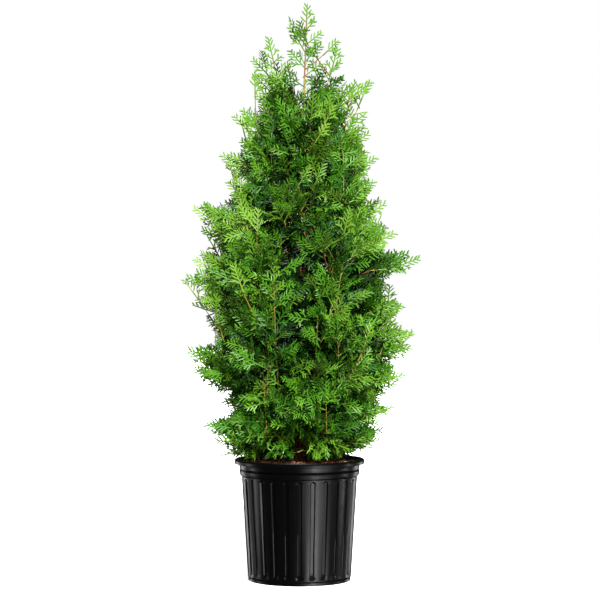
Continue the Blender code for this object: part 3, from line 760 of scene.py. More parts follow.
def stem_tree(branch, first, last):
    """Return a search tree of a ribbon along a mass's stem."""
    room = branch.side * SPRAY_ROOM
    line = branch_line(branch, first, last, LINE_STEPS + 1)[:-1]
    verts = [point + way for point in line for way in (room, -room)]
    return BVHTree.FromPolygons(verts, [(at, at + 1, at + 3, at + 2) for at in range(0, len(verts) - 2, 2)])


def side_spray(branch, share, place, shorter, draw):
    """Draw a side twig with its spray, made shorter where earlier ones didn't fit."""
    foot = branch_point(branch, share)
    roll = math.pi * place + draw.uniform(-ROLL_SCATTER, ROLL_SCATTER)
    run = turned(branch_tangent(branch, share), draw.uniform(*TWIG_SPLAY), roll)
    axis = (run + UP * (SPRAY_LIFT * draw.random())).normalized()
    end = foot + axis * draw.uniform(*TWIG_LENGTH) * shorter
    length = draw.uniform(*SPRAY_LENGTH) * shorter
    return seated_spray(foot, end, axis, turned(axis, math.pi / 2, draw.uniform(0, math.pi)), length)


def end_spray(branch, own, spaces, draw):
    """Return the spray at the stem's end: the first that fits, or else the last one drawn."""
    end, axis, length = tip_spray(branch, END_SPRAY)
    for _ in range(TRIES):
        across = turned(axis, math.pi / 2, draw.uniform(0, math.pi))
        spray = seated_spray(end, end, axis, across, length + SPRAY_ROOT)
        if spaces.fits(spray_points(spray)[1:-1], own, END_SLACK):
            break
    return spray


def source_sprays(own, branches, spaces):
    """Return the side sprays of one mass by the source's rule."""
    branch = branches[own]
    draw = random.Random(branch.seed)
    first = max(branch.limb, STEM_BARE)
    last = curve_share(branch, END_SPRAY)
    sprays = []
    trees = [spray_tree(end_spray(branch, own, spaces, draw)), stem_tree(branch, first, last)]
    for place in range(branch.sprays):
        share = first + (last - first) * (place + 0.5) / branch.sprays
        for attempt in range(TRIES):
            spray = side_spray(branch, share, place, 1 - SHORTEST * attempt / TRIES, draw)
            if not spaces.fits([spray.end] + spray_points(spray), own, SIDE_SLACK):
                continue
            tree = spray_tree(spray)
            if not any(tree.overlap(other) for other in trees):
                sprays.append(spray)
                trees.append(tree)
                break
    return sprays


# The notched outline, in which finer twigs and sprays fill the places between the source's own

# Reach of the outermost tips and of the notches between them at the crown's two sides: (height, reach)
LEFT_OUTLINE = (
    (0.235, 0.150), (0.262, 0.134), (0.290, 0.172), (0.321, 0.209), (0.371, 0.158), (0.437, 0.226),
    (0.458, 0.218), (0.480, 0.247), (0.520, 0.182), (0.543, 0.209), (0.562, 0.176), (0.580, 0.231),
    (0.608, 0.220), (0.638, 0.258), (0.659, 0.198), (0.680, 0.230), (0.722, 0.188), (0.738, 0.219),
    (0.756, 0.190), (0.778, 0.234), (0.797, 0.210), (0.817, 0.146), (0.838, 0.160), (0.860, 0.134),
    (0.891, 0.193), (0.910, 0.120), (0.926, 0.143), (0.944, 0.092), (0.975, 0.152), (0.990, 0.122),
    (1.007, 0.084), (1.026, 0.101), (1.040, 0.086), (1.063, 0.113), (1.080, 0.074), (1.102, 0.119),
    (1.120, 0.064), (1.165, 0.072), (1.170, 0.024), (1.181, 0.030), (1.219, 0.000),
)
RIGHT_OUTLINE = (
    (0.235, 0.130), (0.272, 0.116), (0.290, 0.165), (0.311, 0.187), (0.332, 0.158), (0.358, 0.208),
    (0.388, 0.180), (0.414, 0.194), (0.430, 0.228), (0.459, 0.210), (0.485, 0.246), (0.501, 0.228),
    (0.524, 0.250), (0.550, 0.206), (0.575, 0.225), (0.617, 0.202), (0.640, 0.242), (0.680, 0.266),
    (0.699, 0.236), (0.710, 0.188), (0.728, 0.207), (0.752, 0.200), (0.764, 0.168), (0.788, 0.197),
    (0.808, 0.155), (0.838, 0.178), (0.850, 0.144), (0.891, 0.166), (0.920, 0.160), (0.933, 0.140),
    (0.946, 0.152), (0.975, 0.138), (0.997, 0.112), (1.022, 0.118), (1.049, 0.157), (1.070, 0.149),
    (1.081, 0.072), (1.102, 0.080), (1.134, 0.098), (1.148, 0.066), (1.166, 0.058), (1.176, 0.028),
    (1.190, 0.036), (1.219, 0.026),
)
WANDER = 0.045
RIM_TOP = POT_HEIGHT + 0.001
# The lowest places that leaves may take over the mulch, the rim and past it: (distance, height)
FLOOR_LINE = (
    (0.040, CROWN_FLOOR), (0.090, RIM_TOP), (LIP_RADIUS + 0.004, RIM_TOP), (LIP_RADIUS + 0.008, 0.242),
)
OPENING_MIDDLE = 0.002
OPENING_HALF = 0.012
OPENING_TOP = 0.294
CUT_STEP = 0.02
SHORTEST_CUT = 0.5


def above_pot(points):
    """Return how far each point lies above the mulch, the rim and the opening before the trunk's foot."""
    floor = np.interp(np.hypot(points[..., 0], points[..., 1]), *zip(*FLOOR_LINE))
    before_trunk = (np.abs(points[..., 0] - OPENING_MIDDLE) < OPENING_HALF) & (points[..., 1] < 0)
    return points[..., 2] - np.where(before_trunk, OPENING_TOP, floor)


def notched_reach(heights, right, front):
    """Return the notched outline's reach; right and front are the cosine and sine of the azimuth."""
    right = (1 + right) / 2
    heights = heights + WANDER * front * np.abs(front)
    left_reach = np.interp(heights, *zip(*LEFT_OUTLINE), right=0.0)
    right_reach = np.interp(heights, *zip(*RIGHT_OUTLINE), right=0.0)
    return left_reach * (1 - right) + right_reach * right


def depths_inside(points):
    """Return how far inside the notched outline each point lies."""
    radii = np.hypot(points[..., 0], points[..., 1]) + TINY
    return notched_reach(points[..., 2], points[..., 0] / radii, points[..., 1] / radii) - radii


def depth_inside(point):
    """Return how far inside the notched outline a point lies."""
    return float(depths_inside(np.array([point]))[0])


def cut_back(branch):
    """Return a branch that ends where its curve leaves the notched outline."""
    share = 1.0
    while share > SHORTEST_CUT and depth_inside(branch_point(branch, share)) < 0:
        share -= CUT_STEP
    bend = branch.foot.lerp(branch.bend, share)
    return branch._replace(bend=bend, tip=branch_point(branch, share), limb=branch.limb / share)


# Finer twigs, which grow from the branches and the trunk

LEADER_LEAN = (0.0, 0.40)
LEADER_SPREAD = 0.28
LEADER_BOW = 0.12
LEADER_STEP = 0.02
LEADERS_TOP = 1.075
SKIRT_HEIGHT = 0.12
SKIRT_ARCH = 0.005
SKIRT_SCATTER = 0.6
TRUNK_TWIG_THINNING = 1.5
GOLDEN_TURN = math.pi * (3 - math.sqrt(5))
LOBE_TURNS = tuple(math.radians(turn) for turn in (-76, -50, -22, 0, 22, 50, 76))
OPEN_HEIGHT = 1.03
LOW_TOP = 0.42
LOBE_LIFT = 0.006
LOBE_INSET = 0.03
LOBE_BEND = 0.55
LOBE_CHECKS = (0.4, 0.6, 0.8)
LOW_RISE = 0.12
HIGH_RISE = 1.10
SHOOT_TURN = math.radians(12.0)
SHOOT_TURN_SCATTER = 0.1
SHOOT_FEET = (0.34, 0.58, 0.42, 0.70)
SHOOT_FOOT_SCATTER = 0.02
SHOOT_FOOT_SHARE = 0.55
SHOOT_INSET = 0.022
SHOOT_RADIUS = 0.0016
SHOOT_TOP = 0.98
NOTCH_SPAN = 0.04
NOTCH_STEPS = 9
STEM_SHARES = np.linspace(0.1, 0.9, 25)


def side_leader(branch, share, draw, settings):
    """Return a steep twig that rises from a branch inside the crown, or None where there is no room."""
    foot = branch_point(branch, share)
    outward = outward_from(foot)
    around = Vector((-outward.y, outward.x, 0.0))
    lean = outward * draw.uniform(*LEADER_LEAN) + around * draw.gauss(0, LEADER_SPREAD)
    return growing_twig(foot, lean + UP, lean, draw, settings)


def growing_twig(foot, run, lean, draw, settings):
    """Return a twig along a run that bows out with its lean, as long as there is room for it."""
    length = draw.uniform(*settings.leader_length)
    inset = draw.uniform(*settings.leader_inset)
    while length > settings.leader_length[0]:
        tip = foot + run.normalized() * length
        if depth_inside(tip) > inset and tip.z < LEADERS_TOP:
            bend = foot.lerp(tip, 0.5) + lean * length * LEADER_BOW
            return Branch("twig", foot, bend, tip, lean.cross(run).normalized(), settings.leader_radius)
        length -= LEADER_STEP
    return None


def trunk_twigs(draw, settings):
    """Return twigs that leave the trunk all the way up between its boughs."""
    twigs = []
    count = int((settings.trunk_twig_top - TRUNK_FOOT) / settings.trunk_twig_pitch / TRUNK_TWIG_THINNING)
    shares = np.linspace(0, 1, count) ** TRUNK_TWIG_THINNING
    heights = TRUNK_FOOT + settings.trunk_bare + (settings.trunk_twig_top - TRUNK_FOOT) * shares
    for number, height in enumerate(heights):
        outward = outward_at(number * GOLDEN_TURN)
        most = min(1.0, (height - TRUNK_FOOT) / SKIRT_HEIGHT)
        rise = UP * (draw.uniform(*settings.trunk_twig_rise) * most)
        twigs.append(growing_twig(trunk_point(height), outward + rise, outward, draw, settings))
    return [twig for twig in twigs if twig]


def skirt_twigs(draw, settings):
    """Return low twigs that lie all round over the mulch and the rim."""
    twigs = []
    least, most = settings.skirt_rise
    for number in range(settings.skirt_twigs):
        azimuth = 2 * math.pi * (number + SKIRT_SCATTER * draw.random()) / settings.skirt_twigs
        outward = outward_at(azimuth)
        foot = trunk_point(TRUNK_FOOT + draw.uniform(*settings.skirt_foot))
        tip = foot + outward * draw.uniform(*settings.skirt_reach)
        tip.z = CROWN_FLOOR + least + (most - least) * draw.random() ** 2
        bend = foot.lerp(tip, 0.5) + UP * SKIRT_ARCH
        twigs.append(Branch("twig", foot, bend, tip, outward.cross(UP), settings.leader_radius))
    return twigs


def lobe_twigs(stems, draw, settings):
    """Return twigs that run out to every tip of the notched outline, each from the nearest stem."""
    twigs = []
    for middle, outline in ((math.pi, LEFT_OUTLINE), (0.0, RIGHT_OUTLINE)):
        for before, knot, after in zip(outline, outline[1:], outline[2:]):
            tip = knot[1] > max(before[1], after[1]) and knot[0] < settings.lobe_top
            if tip or knot[0] < LOW_TOP:
                turns = LOBE_TURNS if knot[0] < OPEN_HEIGHT else (0.0,)
                twigs += [lobe_twig(knot[0], middle + turn, stems, draw, settings) for turn in turns]
    return twigs


def nearest_stem(stems, root):
    """Return the stem point nearest to a twig's root; one above it or further out counts as further."""
    def distance(stem):
        further = math.hypot(stem.x, stem.y) - math.hypot(root.x, root.y)
        return (stem - root).length + 2 * max(0.0, stem.z - root.z) + 2 * max(0.0, further)
    return min(stems, key=distance)


def lobe_twig(height, azimuth, stems, draw, settings):
    """Return the twig that runs out to one tip of the notched outline and levels out towards it."""
    outward = outward_at(azimuth)
    right, front = math.cos(azimuth), math.sin(azimuth)
    height += LOBE_LIFT - WANDER * front * abs(front)
    reach = float(notched_reach(height, right, front)) - draw.uniform(0.0, abs(front)) * LOBE_INSET
    tip = outward * reach + UP * height
    rise = LOW_RISE + (HIGH_RISE - LOW_RISE) * (height - CROWN_FLOOR) / (LEADER_TIP - CROWN_FLOOR)
    run = (outward + UP * rise).normalized()
    foot = nearest_stem(stems, tip - run * draw.uniform(*settings.lobe_length))
    bend = tip - run * (tip - foot).length * LOBE_BEND
    twig = Branch("twig", foot, bend, tip, run.cross(UP).normalized(), settings.leader_radius)
    if min(depth_inside(branch_point(twig, share)) for share in LOBE_CHECKS) < 0:
        twig = twig._replace(bend=foot.lerp(tip, 0.5))
    return twig


def long_shoot(number, stems, draw, settings):
    """Return one of the long upright shoots that stand all round before the rest of the crown."""
    azimuth = FRONT + SHOOT_TURN + number * 2 * math.pi / settings.long_shoots
    azimuth += draw.gauss(0, SHOOT_TURN_SCATTER)
    outward = outward_at(azimuth)
    low = SHOOT_FEET[number % len(SHOOT_FEET)] + draw.uniform(-SHOOT_FOOT_SCATTER, SHOOT_FOOT_SCATTER)
    high = min(low + draw.uniform(*settings.shoot_length), SHOOT_TOP)
    middle = (low + high) / 2
    reaches = []
    for height in (low, middle, high):
        span = np.linspace(height - NOTCH_SPAN, height + NOTCH_SPAN, NOTCH_STEPS)
        reaches.append(notched_reach(span, math.cos(azimuth), math.sin(azimuth)).min())
    root = outward * reaches[0] * SHOOT_FOOT_SHARE + UP * low
    bend = outward * (reaches[1] - SHOOT_INSET) + UP * middle
    tip = outward * (reaches[2] - SHOOT_INSET) + UP * high
    return Branch("shoot", nearest_stem(stems, root), bend, tip, outward.cross(UP), SHOOT_RADIUS)


# Fine sprays on the branches and twigs

STEM_SLACK = 0.008
ROLL_NEAR = math.radians(8.0)
ROLL_FAR = math.radians(118.0)
ROLL_FLAT = math.radians(50.0)
FOOT_SPLAY = math.radians(60.0)
TIP_SPLAY = math.radians(38.0)
SPLAY_SCATTER = math.radians(9.0)
FINE_LIFT = (-0.15, 0.10)
HIGH_LIFT = 0.30
SKIRT_DROOP = 0.55
BLADE_ROLL = 0.45
STEEP_ROLL = 0.9
END_ROLL = 0.30
MOST_ROLL = math.radians(68.0)
TIP_SPRAY = 0.036
TIP_RISE = 0.45
END_FROND = (0.060, 0.090)
END_SHARE = 0.45
TWIG_BARE = 0.12
MOST_BARE = 0.2
CREST_TIERS = ("leader", "top", "high")
CREST = 0.19
CREST_SHARE = 0.8
CREST_END = 0.060
CREST_FIRST = 0.055
CREST_PITCH = 0.017
CREST_RISE = 0.60
CREST_LONGEST = 0.066
CREST_REACH = (0.85, 1.1)
CREST_SPLAY = math.radians(44.0)
TOP_FOOT = 0.95
TOP_FRONDS = 0.24
SHOOT_END = 0.055
COMB_SHARE = 0.75
PITCH_SCATTER = (0.85, 1.15)


def upright_blade(axis, scatter, draw):
    """Return the direction across a spray whose blade stands upright or nearly so."""
    upright = axis.cross(UP).cross(axis).normalized()
    roll = min(max(draw.gauss(0, scatter), -MOST_ROLL), MOST_ROLL)
    return Matrix.Rotation(roll, 3, axis) @ upright


def fine_axis(branch, share, place, draw):
    """Draw the direction of a fine spray on one side of a branch, closer to it towards its tip."""
    foot = branch_point(branch, share)
    tangent = branch_tangent(branch, share)
    outward = outward_from(foot)
    outer = (outward - tangent * tangent.dot(outward)).normalized()
    flat = ROLL_FLAT * (1 - abs(tangent.z))
    roll = draw.uniform(ROLL_NEAR + flat, ROLL_FAR + flat / 2) * (1 if place % 2 else -1)
    across = Matrix.Rotation(roll, 3, tangent) @ outer
    splay = FOOT_SPLAY + (TIP_SPLAY - FOOT_SPLAY) * share + draw.gauss(0, SPLAY_SCATTER)
    axis = tangent * math.cos(splay) + across * math.sin(splay)
    low = max(0.0, 1 - (foot.z - CROWN_FLOOR) / SKIRT_HEIGHT)
    high = (foot.z - CROWN_FLOOR) / (LEADER_TIP - CROWN_FLOOR)
    lift = draw.uniform(*FINE_LIFT) + HIGH_LIFT * high - SKIRT_DROOP * low
    return (axis + UP * lift).normalized()


def fitted_spray(foot, axis, across, twig, most, inset, settings):
    """Return the longest spray along an axis that stays inside the outline, or None where none fits."""
    length = most
    while length >= settings.fine_spray[0]:
        spray = seated_spray(foot, foot + axis * min(twig, length / 3), axis, across, length)
        tip = np.array(spray.end + axis * length)
        if above_pot(tip) > 0 and depths_inside(np.array(spray_points(spray))).min() > inset:
            return spray
        length *= settings.fine_shorter
    return None


def shortened(sprays, settings):
    """Return the source's sprays, each shortened to stay inside the notched outline."""
    made = []
    for foot, end, _, axis, across, length in sprays:
        made.append(fitted_spray(foot, axis, across, (end - foot).length, length, 0.0, settings))
    return [spray for spray in made if spray]


def end_frond(branch, distance, draw):
    """Return the large frond at a branch's tip, its face turned to the viewer's side or nearly so."""
    end, axis, length = tip_spray(branch, distance)
    across = axis.cross(VIEW_AXIS).normalized()
    across = Matrix.Rotation(draw.gauss(0, END_ROLL), 3, axis) @ across
    return seated_spray(end, end, axis, across, length + SPRAY_ROOT)


def crest_sprays(branch, most, facing, draw):
    """Return the flat fronds on alternate sides of a shoot, longer the further they are from its tip."""
    sprays = []
    distance = CREST_FIRST
    side = draw.choice((-1, 1))
    while distance < most:
        foot, tangent, _ = tip_spray(branch, distance)
        across = tangent.cross(facing).normalized() * side
        splay = CREST_SPLAY + draw.gauss(0, SPLAY_SCATTER)
        axis = (tangent * math.cos(splay) + across * math.sin(splay)).normalized()
        axis = Matrix.Rotation(draw.gauss(0, END_ROLL), 3, tangent) @ axis
        blade = upright_blade(axis, END_ROLL, draw)
        reach = min(CREST_RISE * distance, CREST_LONGEST) * draw.uniform(*CREST_REACH)
        sprays.append(seated_spray(foot, foot, axis, blade, reach))
        distance += CREST_PITCH * draw.uniform(*PITCH_SCATTER)
        side = -side
    return sprays


def shoot_sprays(shoot, draw):
    """Return the end frond and the combs of fronds of a long shoot, which face outward."""
    facing = -outward_from(branch_point(shoot, 0.5))
    end, axis, _ = tip_spray(shoot, SHOOT_END)
    frond = seated_spray(end, end, axis, axis.cross(facing).normalized(), SHOOT_END + SPRAY_ROOT)
    return [frond] + crest_sprays(shoot, COMB_SHARE * branch_length(shoot), facing, draw)


def fine_sprays(branch, first, draw, settings, slack=0.0):
    """Return fine sprays on alternate sides of a branch inside the crown's outline, and its end frond."""
    length = branch_length(branch)
    end_length = min(draw.uniform(*END_FROND), END_SHARE * length)
    last = 1 - 0.5 * end_length / length
    crest = min(CREST, CREST_SHARE * length)
    if tier_name(branch) in CREST_TIERS:
        end_length = CREST_END
        last = 1 - crest / length
    count = int(length * (last - first) / settings.twig_pitch)
    sprays = [end_frond(branch, end_length, draw)]
    for place in range(count):
        share = first + (last - first) * (place + draw.random()) / count
        inset = draw.uniform(*settings.fine_inset) - slack
        most = min(TIP_SPRAY + TIP_RISE * (1 - share) * length, draw.uniform(*settings.fine_spray))
        foot = branch_point(branch, share)
        for _ in range(settings.fine_tries):
            axis = fine_axis(branch, share, place, draw)
            across = upright_blade(axis, BLADE_ROLL + STEEP_ROLL * axis.z**2, draw)
            spray = fitted_spray(foot, axis, across, draw.uniform(*settings.fine_twig), most, inset, settings)
            if spray:
                sprays.append(spray)
                break
    if tier_name(branch) == "leader":
        sprays += crest_sprays(top_shoot(TOP_FOOT), TOP_FRONDS, VIEW_AXIS, draw)
    elif tier_name(branch) in CREST_TIERS:
        sprays += crest_sprays(branch, crest, VIEW_AXIS, draw)
    return sprays


def fine_growth(branch, draw, settings):
    """Return the side leaders of a branch, and all fine sprays on it and on them."""
    length = branch_length(branch)
    first = min(settings.bare_foot / length, MOST_BARE)
    sprays = fine_sprays(branch, first, draw, settings, STEM_SLACK)
    leaders = []
    count = round(length / settings.leader_pitch)
    for place in range(count):
        share = first + (STEM_END - first) * (place + draw.random()) / count
        leader = side_leader(branch, share, draw, settings)
        if leader:
            leaders.append(leader)
            sprays += fine_sprays(leader, TWIG_BARE, draw, settings)
    return leaders, sprays


# Fronds: a flat axis with alternate laterals; the longer laterals are combs of branchlets of their own

AXIS_SHARES = (0.0, 0.05, 0.88, 1.0)
AXIS_SWAY = 0.03
AXIS_HALF_WIDTH = 0.0014
SIMPLE_PITCH = 0.0046
SIMPLE_LENGTH = 0.0200
LATERAL_PITCH = 0.0078
LATERAL_ANGLE = math.radians(46.0)
LATERAL_ANGLE_SCATTER = 0.06
LATERAL_CLOSING = math.radians(12.0)
LATERAL_BOW = math.radians(9.0)
LATERAL_TILT = 0.15
LATERAL_RISE = (0.26, 0.38)
LATERAL_TIP = 0.0085
LATERAL_LONGEST = 0.042
LAST_LATERAL = 0.0080
FIRST_LATERAL = 0.012
BRANCHLET_PITCH = 0.0046
BRANCHLET_ANGLE = math.radians(36.0)
BRANCHLET_RISE = 0.30
BRANCHLET_TIP = 0.0070
BRANCHLET_LONGEST = 0.0130
BRANCHLET_FIRST = 0.0090
BRANCHLET_LAST = 0.0055
BRANCHLET_SCATTER = (0.8, 1.2)
LEAF_BOW = 0.09
LEAF_HALF_WIDTH = 0.0015
LEAF_RIDGE = 0.0008
LEAF_SHARES = (0.0, 0.25, 0.75, 1.0)
LEAF_TRIANGLES = np.array([(0, 1, 2), (0, 2, 3), (0, 3, 4), (0, 4, 5)])
SAG = (-0.06, 0.16)
CUP = 0.4


def flat_direction(angle, side):
    """Return the flat direction at an angle to the frond's axis, on one side of it."""
    return np.array((math.cos(angle), side * math.sin(angle)))


def flat_curve(start, angle, side, length, bow, shares):
    """Return points along a flat curve that starts at an angle to the axis and closes in on it by bow."""
    middle = start + flat_direction(angle + bow, side) * length / 2
    end = middle + flat_direction(angle - bow, side) * length / 2
    return [start * (1 - s) ** 2 + middle * (2 * s * (1 - s)) + end * s**2 for s in shares]


def simple_leaf(start, angle, side, length, tilt, parent):
    """Return a branchlet as a curve, a half width, its lateral's tilt and the number of what bears it."""
    return flat_curve(start, angle, side, length, LEAF_BOW, LEAF_SHARES), LEAF_HALF_WIDTH, tilt, parent


def lateral_leaves(start, angle, side, size, tilt, number, draw):
    """Return a lateral's own axis, which has the given number, and the branchlets on both its sides."""
    leaves = [simple_leaf(start, angle, side, size, tilt, 0)]
    place = BRANCHLET_FIRST * draw.uniform(*BRANCHLET_SCATTER)
    way = -1
    while place < size - BRANCHLET_LAST:
        foot = flat_curve(start, angle, side, size, LATERAL_BOW, (place / size,))[0]
        reach = min(BRANCHLET_LONGEST, BRANCHLET_TIP + BRANCHLET_RISE * (size - place))
        reach *= draw.uniform(*BRANCHLET_SCATTER)
        leaves.append(simple_leaf(foot, angle + way * BRANCHLET_ANGLE, side, reach, tilt, number))
        place += BRANCHLET_PITCH * draw.uniform(*PITCH_SCATTER)
        way = -way
    return leaves


def frond_leaves(length, draw):
    """Return the frond's axis and all its branchlets."""
    sway = draw.uniform(-AXIS_SWAY, AXIS_SWAY) * length
    axis = [np.array((length * s, sway * math.sin(math.pi * s))) for s in AXIS_SHARES]
    leaves = [(axis, AXIS_HALF_WIDTH, 0.0, 0)]
    along = length - LAST_LATERAL
    side = draw.choice((-1, 1))
    while along > FIRST_LATERAL:
        angle = LATERAL_ANGLE - LATERAL_CLOSING * along / length + draw.gauss(0, LATERAL_ANGLE_SCATTER)
        size = min(LATERAL_TIP + draw.uniform(*LATERAL_RISE) * (length - along), LATERAL_LONGEST)
        start = np.array((along, sway * math.sin(math.pi * along / length)))
        tilt = draw.gauss(0, LATERAL_TILT)
        if size < SIMPLE_LENGTH:
            leaves.append(simple_leaf(start, angle, side, size, tilt, 0))
            along -= SIMPLE_PITCH * draw.uniform(*PITCH_SCATTER)
        else:
            leaves += lateral_leaves(start, angle, side, size, tilt, len(leaves), draw)
            along -= LATERAL_PITCH * draw.uniform(*PITCH_SCATTER)
        side = -side
    return leaves


class Frond:
    """A spray laid out in space: it sags along its axis and cups across it."""

    def __init__(self, spray, draw):
        self.root = np.array(spray.root)
        self.axis = np.array(spray.axis)
        self.across = np.array(spray.across)
        self.normal = np.cross(self.axis, self.across)
        self.length = spray.length
        level = math.sqrt(max(0.0, 1 - spray.axis.z**2))
        self.sag = np.array((0.0, 0.0, -draw.uniform(*SAG) * level))
        self.cup = draw.uniform(-CUP, CUP)

    def in_space(self, flat, tilts):
        """Return the place in space of flat (along, across) points."""
        along, over = flat[..., :1], flat[..., 1:]
        place = self.root + self.axis * along + self.across * over
        rise = self.cup * over**2 / self.length + np.abs(over) * tilts
        return place + self.sag * along**2 / self.length + self.normal * rise

    def mesh(self, leaves, slack):
        """Return the frond's branchlets as one mesh: each is a blunt strip folded along its middle."""
        curves, widths, tilts, parents = zip(*leaves)
        flat = np.array(curves)
        widths = np.array(widths)[:, None, None]
        tilts = np.array(tilts)[:, None, None]
        runs = flat[:, 2:] - flat[:, :-2]
        runs /= np.linalg.norm(runs, axis=2)[:, :, None]
        over = np.stack([-runs[:, :, 1], runs[:, :, 0]], -1) * widths
        drop = -self.normal * LEAF_RIDGE
        left = self.in_space(flat[:, 1:3] + over, tilts) + drop
        right = self.in_space(flat[:, 1:3] - over, tilts) + drop
        ends = self.in_space(flat[:, [0, 3]], tilts)
        points = np.stack([ends[:, 0], left[:, 0], left[:, 1], ends[:, 1], right[:, 1], right[:, 0]], 1)
        # A branchlet that leaves the outline goes, and so does whatever grows on it; the axis may leave it
        grown = (depths_inside(points).min(1) > -slack) & (above_pot(points).min(1) > 0)
        axis = points[0]
        grown[0] = above_pot(np.concatenate([axis, (axis[1:] + axis[:-1]) / 2])).min() > 0
        points = points[grown & grown[list(parents)]]
        triangles = LEAF_TRIANGLES[None] + 6 * np.arange(len(points))[:, None, None]
        return points.reshape(-1, 3), triangles.reshape(-1, 3)


# Trunk and boughs

STRING_WIDTH = 0.0022
STRING_LENGTH = 0.024
STATION_EASE = 1.4
FLARE_LOBES = 3
FLARE_LOBE_DEPTH = 0.15
LIMB_TIP_SHARE = 0.52
RING_PITCH = 0.0025
YOUNG_BARK = 0.70


def string_relief(point):
    """Return the bark's relief at a point, from 0 to 1: strings that run up the limb."""
    place = Vector((point[0] / STRING_WIDTH, point[1] / STRING_WIDTH, point[2] / STRING_LENGTH))
    return 0.5 + 0.5 * noise.fractal(place, 1.0, 2.0, 3)


def bark_tube(points, radii, side_axis, sides, depth):
    """Return a tube whose skin has stringy relief of the given depth."""
    plain = tube(points, radii, side_axis, sides)[0][:-2]
    centres = np.repeat(np.array(points), sides, axis=0)
    spokes = plain - centres
    reliefs = np.array([string_relief(point) for point in plain])
    spokes *= 1 + depth * (reliefs[:, None] - 0.5) / np.linalg.norm(spokes, axis=1)[:, None]
    return closed_rings((centres + spokes).reshape(len(points), sides, 3))


def make_trunk(settings, bark):
    """Make the trunk with its root flare and stringy bark."""
    shares = np.linspace(0, 1, settings.trunk_stations) ** STATION_EASE
    stations = TRUNK_FOOT + (TRUNK_TIP - TRUNK_FOOT) * shares
    angles = 2 * np.pi * np.arange(settings.trunk_sides) / settings.trunk_sides
    radii = []
    for height in stations:
        fade = math.exp(-(height - TRUNK_FOOT) / FLARE_HEIGHT)
        radii.append(trunk_radius(height) * (1 + FLARE_LOBE_DEPTH * fade * np.cos(FLARE_LOBES * angles)))
    points = [trunk_point(height) for height in stations]
    mesh = bark_tube(points, radii, (1.0, 0.0, 0.0), settings.trunk_sides, settings.relief)
    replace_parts(add_piece("trunk_bark", *mesh, [bark], "trunk_bark", sharp=60.0), "trunk")


def limb_mesh(branch, sides, depth):
    """Return a bough's bare limb, from inside the trunk to where its mass begins."""
    count = int(branch_length(branch) * branch.limb / RING_PITCH)
    points = [branch_point(branch, share) for share in np.linspace(0, branch.limb, count)]
    radii = branch.radius * (1 - (1 - LIMB_TIP_SHARE) * np.linspace(0, 1, count))
    return bark_tube(points, radii, branch.side, sides, depth)


def make_boughs(settings, bark):
    """Make the bare limbs of all boughs."""
    branches = [branch for branch in all_branches() if branch.limb]
    meshes = [limb_mesh(branch, settings.bough_sides, settings.relief / 2) for branch in branches]
    piece = add_piece("bough_bark", *join_meshes(meshes), [bark], "bough_bark", sharp=60.0)
    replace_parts(piece, *[f"bough_{branch.name}" for branch in branches])


# Crown: stems, twigs and fronds, joined by kind and tier

STEM_END = 0.85
STEM_RINGS = 30
STEM_SIDES = 6
STEM_TIP_RADIUS = 0.0006
TWIG_END = 0.66
TWIG_RINGS = 12
TWIG_SIDES = 4
FINE_TWIG_RADII = (0.0009, 0.0006)
SIDE_OUTLINE_SLACK = 0.002
TIP_OUTLINE_SLACK = 0.020
INNER_SLACK = 0.006
# Leaf greens from the darkest to the lightest; which one a spray takes is painted shade by where it lies in
# the crown, with a random tint
SHADED_LEAF_GREENS = ("#0a2603", "#153d05", "#285a08", "#40740e", "#538219", "#648d26", "#719536")
BROWN, TAN, GREEN = range(3)
# Painted shade in the greens: how many steps below the lightest the outer sprays start, and how they darken
# with depth in the crown, by height and at the foot
SHADE_TOP = 2.3
SHADE_START = 0.020
SHADE_DEPTH = 0.016
SHADE_PLACE = 0.6
# Painted shade: the long shoots, which stand out in front in the most light, take greens this many steps
# darker
SHOOT_SHADE = -1.2
TINT_SCATTER = 0.5
OPEN_TOP = 0.25
HEIGHT_SHADE = 1.3
LIGHTEST_HEIGHT = 0.55
FOOT_SHADE = 0.4
FOOT_TOP = 0.12
PIECE_TRIANGLES = 190000


def stem_mesh(branch, first, last, radius, rings, sides):
    """Return the stem of a mass or twig between two shares of its curve."""
    points = [branch_point(branch, share) for share in np.linspace(first, last, rings)]
    radii = radius + (STEM_TIP_RADIUS - radius) * np.linspace(0, 1, rings)
    return tube(points, radii, branch.side, sides)


def twig_mesh(twig, last):
    """Return the stem of a twig, up to a share of its curve."""
    return stem_mesh(twig, 0, last, twig.radius, TWIG_RINGS, TWIG_SIDES)


def painted_spray_shade(spray, tint_and_painted_shade):
    """Return a spray's green as a number from 0, the darkest: painted shade by how far out in the crown it
    lies and at what height, with a random tint.
    """
    middle = spray.root + spray.axis * spray.length * SHADE_PLACE
    height = (middle.z - CROWN_FLOOR) / (LEADER_TIP - CROWN_FLOOR)
    # Painted shade: sprays deeper inside the crown take darker greens, less so towards the open top
    depth = max(depth_inside(middle) - SHADE_START, 0.0) * min(1.0, (1 - height) / OPEN_TOP)
    # Painted shade: sprays in the lowest part of the crown, over the rim, take a little darker greens
    foot = FOOT_SHADE * max(0.0, 1 - height / FOOT_TOP)
    level = len(SHADED_LEAF_GREENS) - SHADE_TOP - depth / SHADE_DEPTH + tint_and_painted_shade - foot
    # Painted light and shade by height: lightest at LIGHTEST_HEIGHT of the crown, darker above and below it
    level += HEIGHT_SHADE * (LIGHTEST_HEIGHT - abs(height - LIGHTEST_HEIGHT))
    return int(min(max(level, 0), len(SHADED_LEAF_GREENS) - 1))


